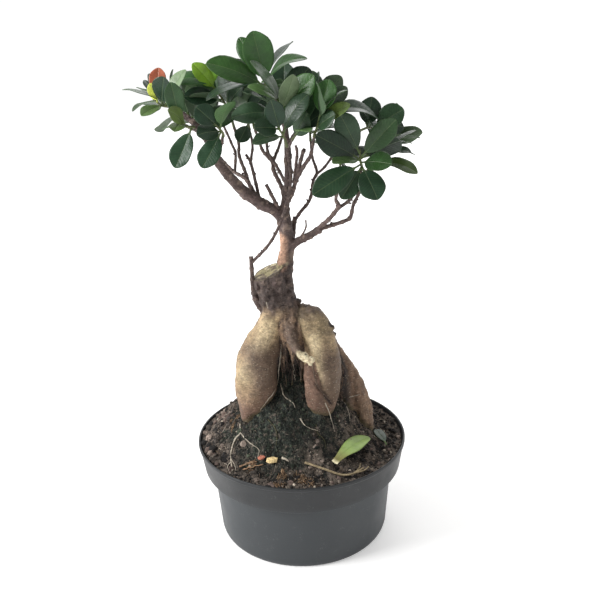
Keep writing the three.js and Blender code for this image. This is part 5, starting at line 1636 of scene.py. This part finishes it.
def seen_leaf_tries(stem, row):
    share, tip, width, facing, arch, kind = row
    base = point_on_stem(stem, 0.08 + 0.88 * share)[0]
    leaf = new_leaf(base, np.array(tip, float), width, facing, arch, kind)
    _, _, normal, side = leaf_frame(leaf)
    return [{**leaf, "tip": leaf["tip"] + push * normal + slide * side} for push, slide in TIP_MOVES]


def grown_leaf_tries(stem, index, count, draw):
    at, way = point_on_stem(stem, 0.3 + 0.66 * (index + 0.5) / count)
    outward = unit(at - np.array(CROWN_CENTRE))
    side = any_side(way)
    other = np.cross(way, side)
    turn = index * GOLDEN_ANGLE + draw() * 0.6
    size = 29 + 9 * draw()
    lean = 1.15 - 0.55 * index / count + 0.2 * draw()
    tilt = draw() - 0.5
    arch = 0.03 + 0.08 * draw()
    kind = GROWN_KINDS[int(draw() * len(GROWN_KINDS))]
    tries = []
    for i, extra in enumerate(LEAF_TURNS):
        angle = turn + extra
        around = side * math.cos(angle) + other * math.sin(angle)
        leaning = way * math.cos(lean) + around * math.sin(lean)
        aim = unit(leaning + 0.35 * outward + vec(0, 0, 0.15))
        long = size * (1 if i < 4 else 0.8)
        facing = vec(0, 0, 0.8) + 0.5 * outward + tilt * side
        tries.append(new_leaf(at, at + aim * long, long * 0.53, facing, arch, kind))
    return tries


def ball_round(lines):
    """Middle and radius of a ball that holds the ends of some lines."""
    ends = lines.reshape(-1, 3)
    middle = ends.mean(axis=0)
    return middle, np.linalg.norm(ends - middle, axis=1).max()


class Blocked:
    """Lines that leaves keep clear of: twigs, stems and the leaves already placed."""

    def __init__(self):
        self.lines = []
        self.rooms = []
        self.shoots = []
        self.balls = []

    def add(self, lines, room, shoot):
        self.lines.append(lines)
        self.rooms.append(room)
        self.shoots.append(shoot)
        self.balls.append(ball_round(lines))

    def clear(self, lines, shoot):
        middle, reach = ball_round(lines)
        middles, reaches = (np.array(part) for part in zip(*self.balls))
        own = np.array([name == shoot for name in self.shoots])
        rooms = np.where(own, CLEAR_OF_OWN_SHOOT, self.rooms)
        away = np.linalg.norm(middles - middle, axis=1)
        for i in np.nonzero(away <= reaches + reach + rooms)[0]:
            tested = lines[LINES_NEAR_STEM:] if own[i] else lines
            if narrowest_gap(tested, self.lines[i]) <= rooms[i]:
                return False
        return True


def place_leaves():
    """The leaves of each shoot: those seen in the photograph, then those grown by rule."""
    blocked = Blocked()
    for points in (*LIMBS.values(), TRUNK):
        for a, b in zip(points, points[1:]):
            blocked.add(np.array([[a[:3], b[:3]]], float), a[3] + CLEAR_OF_TWIGS, "")
    stems = [shoot_stem(twig, path) for _, twig, path, _, _ in SHOOTS]
    for (name, *_), stem in zip(SHOOTS, stems):
        for a, b in zip(stem, stem[1:]):
            blocked.add(np.array([[a, b]]), SHOOT_RADIUS + CLEAR_OF_TWIGS, name)
    leaves = {name: [] for name, *_ in SHOOTS}

    def place(tries, name):
        for leaf in tries:
            lines = blade_lines(leaf)
            if blocked.clear(lines, name):
                leaves[name].append(leaf)
                blocked.add(lines, CLEAR_OF_OTHER_SHOOTS, name)
                return

    for (name, _, _, _, rows), stem in zip(SHOOTS, stems):
        for row in rows:
            place(seen_leaf_tries(stem, row), name)
    for s, ((name, _, _, more, _), stem) in enumerate(zip(SHOOTS, stems)):
        draw = seeded(GROWN_LEAF_SEED + s)
        for index in range(more):
            place(grown_leaf_tries(stem, index, more, draw), name)
    return [(name, stem, leaves[name]) for (name, *_), stem in zip(SHOOTS, stems)]


def leaf_rows(leaf, thickness):
    """Rows from the stalk to the tip: share of the length, half width and half thickness."""
    blade = 0.5 - 0.5 * np.cos(math.pi * np.arange(1, BLADE_STEPS + 1) / BLADE_STEPS)
    share = np.concatenate([[0, 0.07, 0.13], PETIOLE_SHARE + (1 - PETIOLE_SHARE) * blade])
    half = np.maximum(blade_outline(leaf, share), 0.12)
    stalk = smoothstep(share, PETIOLE_SHARE + 0.06, PETIOLE_SHARE - 0.01) * ("stalkless" not in leaf)
    return share, np.maximum(half, 0.65 * stalk), thickness + 0.3 * stalk


def leaf_shell(leaf, thickness, draw):
    """Upper and lower points of a blade, folded a little along its rib, and where each lies on it."""
    _, _, normal, side = leaf_frame(leaf)
    share, half, thick = leaf_rows(leaf, thickness)
    fold = 0.08 + 0.2 * draw()
    phase = ABOUT_A_TURN * draw()
    waves = 0.05 + 0.06 * draw()
    u, v = np.meshgrid(ACROSS, share)
    wide = half[:, None] * u
    lift = fold * np.abs(wide) - 0.06 * wide**2 / leaf["width"] * 2
    lift += waves * np.abs(wide) * np.abs(u) ** 2 * np.sin(9 * v + phase + np.where(u > 0, 1.3, 0))
    middle = leaf_line(leaf, share)
    sheet = middle[:, None] + wide[..., None] * side + lift[..., None] * normal
    rim = 1 - 0.6 * np.abs(u) ** 4
    offset = (thick[:, None] * rim)[..., None]
    points = np.concatenate([sheet + way * offset * normal for way in (1, -1)])
    place = np.tile(np.stack([u, v, np.abs(wide)], -1).reshape(-1, 3), (2, 1))
    return points.reshape(-1, 3), place


def grid_faces(grid):
    corners = [grid[:-1, :-1], grid[:-1, 1:], grid[1:, 1:], grid[1:, :-1]]
    return np.stack(corners, -1).reshape(-1, 4).tolist()


def grid_edge(grid):
    return [*grid[0], *grid[1:, -1], *grid[-1, -2::-1], *grid[-2:0:-1, 0]]


def shell_faces(rows, cols):
    """Faces of two equal grids of points, joined all round."""
    top, low = np.arange(2 * rows * cols).reshape(2, rows, cols)
    faces = grid_faces(top[:, ::-1]) + grid_faces(low)
    upper, lower = grid_edge(top), grid_edge(low)
    for i in range(len(upper)):
        j = (i + 1) % len(upper)
        faces.append([upper[i], upper[j], lower[j], lower[i]])
    return faces


def leaf_tone(leaf, along, painted_side_light, draw):
    """One tone for a leaf, made lighter or darker by painted light from the side, which turns to that of
    its stalk at its foot.
    """
    shade = srgb(LEAF_COLOURS[leaf["kind"]]) * (0.75 + 0.5 * draw()) * (1 + vec(0.25, 0.1, -0.05) * draw())
    tone = np.tile(painted_side_light * shade, (len(along), 1))
    for start, end, colour, share in WITHERED_FOOT if "stalkless" in leaf else STALK_FOOT:
        tone += smoothstep(along, start, end) * (srgb(colour) - tone) * share
    return tone


def add_leaf(pile, leaf, draw, thickness=BLADE_THICKNESS, painted_side_light=1):
    """A thin curved blade on its stalk."""
    points, place = leaf_shell(leaf, thickness, draw)
    half = len(points) // 2
    faces = shell_faces(half // len(ACROSS), len(ACROSS))
    tone = leaf_tone(leaf, place[:, 1:2], painted_side_light, draw)
    pile.add(points, faces, leaf=place, under=np.repeat([0.0, 1.0], half), tone=tone)


def make_sprays():
    for index, (name, stem, leaves) in enumerate(place_leaves()):
        draw = seeded(SPRAY_SEED + index)
        pile = Pile()
        radii = np.linspace(SHOOT_RADIUS, BUD_RADIUS, len(stem))
        line = smooth_line([(*p, r) for p, r in zip(stem, radii)], 1)
        bud = [(*(line[-1, :3] + t * (line[-1, :3] - line[-3, :3])), 0.8 - 0.5 * t) for t in (0, 1, 2)]
        green = srgb(SURFACES["green_shoot"])
        for stick in (line, np.array(bud)):
            pile.add(*tube(stick, STEM_SIDES), leaf=vec(0.5, 0.5, 5), under=0, tone=green)
        for leaf in leaves:
            # Painted light: leaves further left are painted lighter and those further right darker, as if
            # lit from the left.
            add_leaf(pile, leaf, draw, painted_side_light=0.99 - 0.0019 * leaf["tip"][0])
        piece(f"leaves_{name}", pile.mesh(f"leaves_{name}"), "leaves", LEAF, f"spray_{name}")


# What lies on the soil
def set_down(pile):
    """Lowers a pile of forms, or lifts it, until it lies on the soil."""
    room = min((p[:, 2] - soil_surface(p[:, 0], p[:, 1])).min() for p in pile.points)
    for points in pile.points:
        points[:, 2] += LYING_GAP - room


def make_lying_leaves(draw):
    for name, (base, tip, rise, width, arch, kind) in FALLEN_LEAVES.items():
        level = float(soil_height(*base))
        leaf = new_leaf(vec(*base, level), vec(*tip, level + rise), width, (0.1, -0.2, 1), arch, kind)
        if name == "fallen_leaf":
            leaf["stalkless"] = True
        pile = Pile()
        add_leaf(pile, leaf, draw, LYING_THICKNESS)
        set_down(pile)
        piece(f"{name}_blade", pile.mesh(name), name, LEAF, name)


def make_dry_twig():
    pile = Pile()
    for points in (FALLEN_TWIG, *TWIG_FORKS):
        line = smooth_line([(x, y, float(soil_height(x, y)), r) for x, y, r in points], 1.5)
        line[:, 3] *= 0.75
        pile.add(*tube(line, DRY_TWIG_SIDES), tone=srgb(SURFACES["dry_twig"]))
    set_down(pile)
    piece("dry_twig", pile.mesh("dry_twig"), "dry_wood", DRY, "fallen_twig")


def make_bark_chips(draw):
    form, faces = lump_form(1)
    for name, (at, size, turn, tone, slot) in BARK_CHIPS.items():
        pile = Pile()
        dents = 0.7 + 0.7 * np.array([draw() for _ in form])
        rough = np.sign(form) * np.abs(form) ** 0.6 * dents[:, None] * np.array(size) / 2
        turned_form = rough @ np.array(Matrix.Rotation(-math.radians(turn), 3, "Z"))
        pile.add(turned_form + vec(*at, POT_HEIGHT), faces, tone=srgb(tone))
        set_down(pile)
        mesh = pile.mesh(name)
        mesh.shade_flat()
        piece(f"{name}_of_bark", mesh, slot, DRY, name)


def make_lying_pieces():
    draw = seeded(LYING_SEED)
    make_lying_leaves(draw)
    make_dry_twig()
    make_bark_chips(draw)


# Floor and light
def make_world():
    """A white room, whose light is strongest from behind the plant and soft from the front."""
    world = bpy.data.worlds.new("studio")
    world.use_nodes = True
    room = Nodes(world.node_tree)
    way = room.node("TexCoord").outputs["Generated"]
    backwards = room.node("SeparateXYZ", {0: way}).outputs["Y"]
    light = room.step(backwards, *ROOM_LIGHT)
    seen = room.node("LightPath").outputs["Is Camera Ray"]
    background = room.tree.nodes["Background"]
    room.feed(background.inputs["Color"], (1, 1, 1, 1))
    room.feed(background.inputs["Strength"], room.math("MAXIMUM", light, seen))
    bpy.context.scene.world = world


def make_floor():
    corners = FLOOR_REACH * np.array([(-1, -1, 0), (1, -1, 0), (1, 1, 0), (-1, 1, 0)], float)
    pile = Pile()
    pile.add(corners, [[0, 1, 2, 3]])
    floor = in_scene("floor", pile.mesh("floor"))
    floor.data.materials.append(floor_finish())


def make_lamps():
    for name, place, size, power in LAMPS:
        data = bpy.data.lights.new(name, "AREA")
        data.shape = "DISK"
        data.size = size
        data.energy = power
        lamp = in_scene(name, data)
        lamp.location = place
        lamp.rotation_euler = (Vector(LAMP_AIM) - lamp.location).to_track_quat("-Z", "Y").to_euler()
    bpy.context.scene.view_settings.view_transform = "Standard"


make_camera()
make_pot()
make_soil()
make_crumbs()
make_soil_threads()
make_wood()
make_fine_roots()
make_twigs()
make_sprays()
make_lying_pieces()
make_world()
make_floor()
make_lamps()
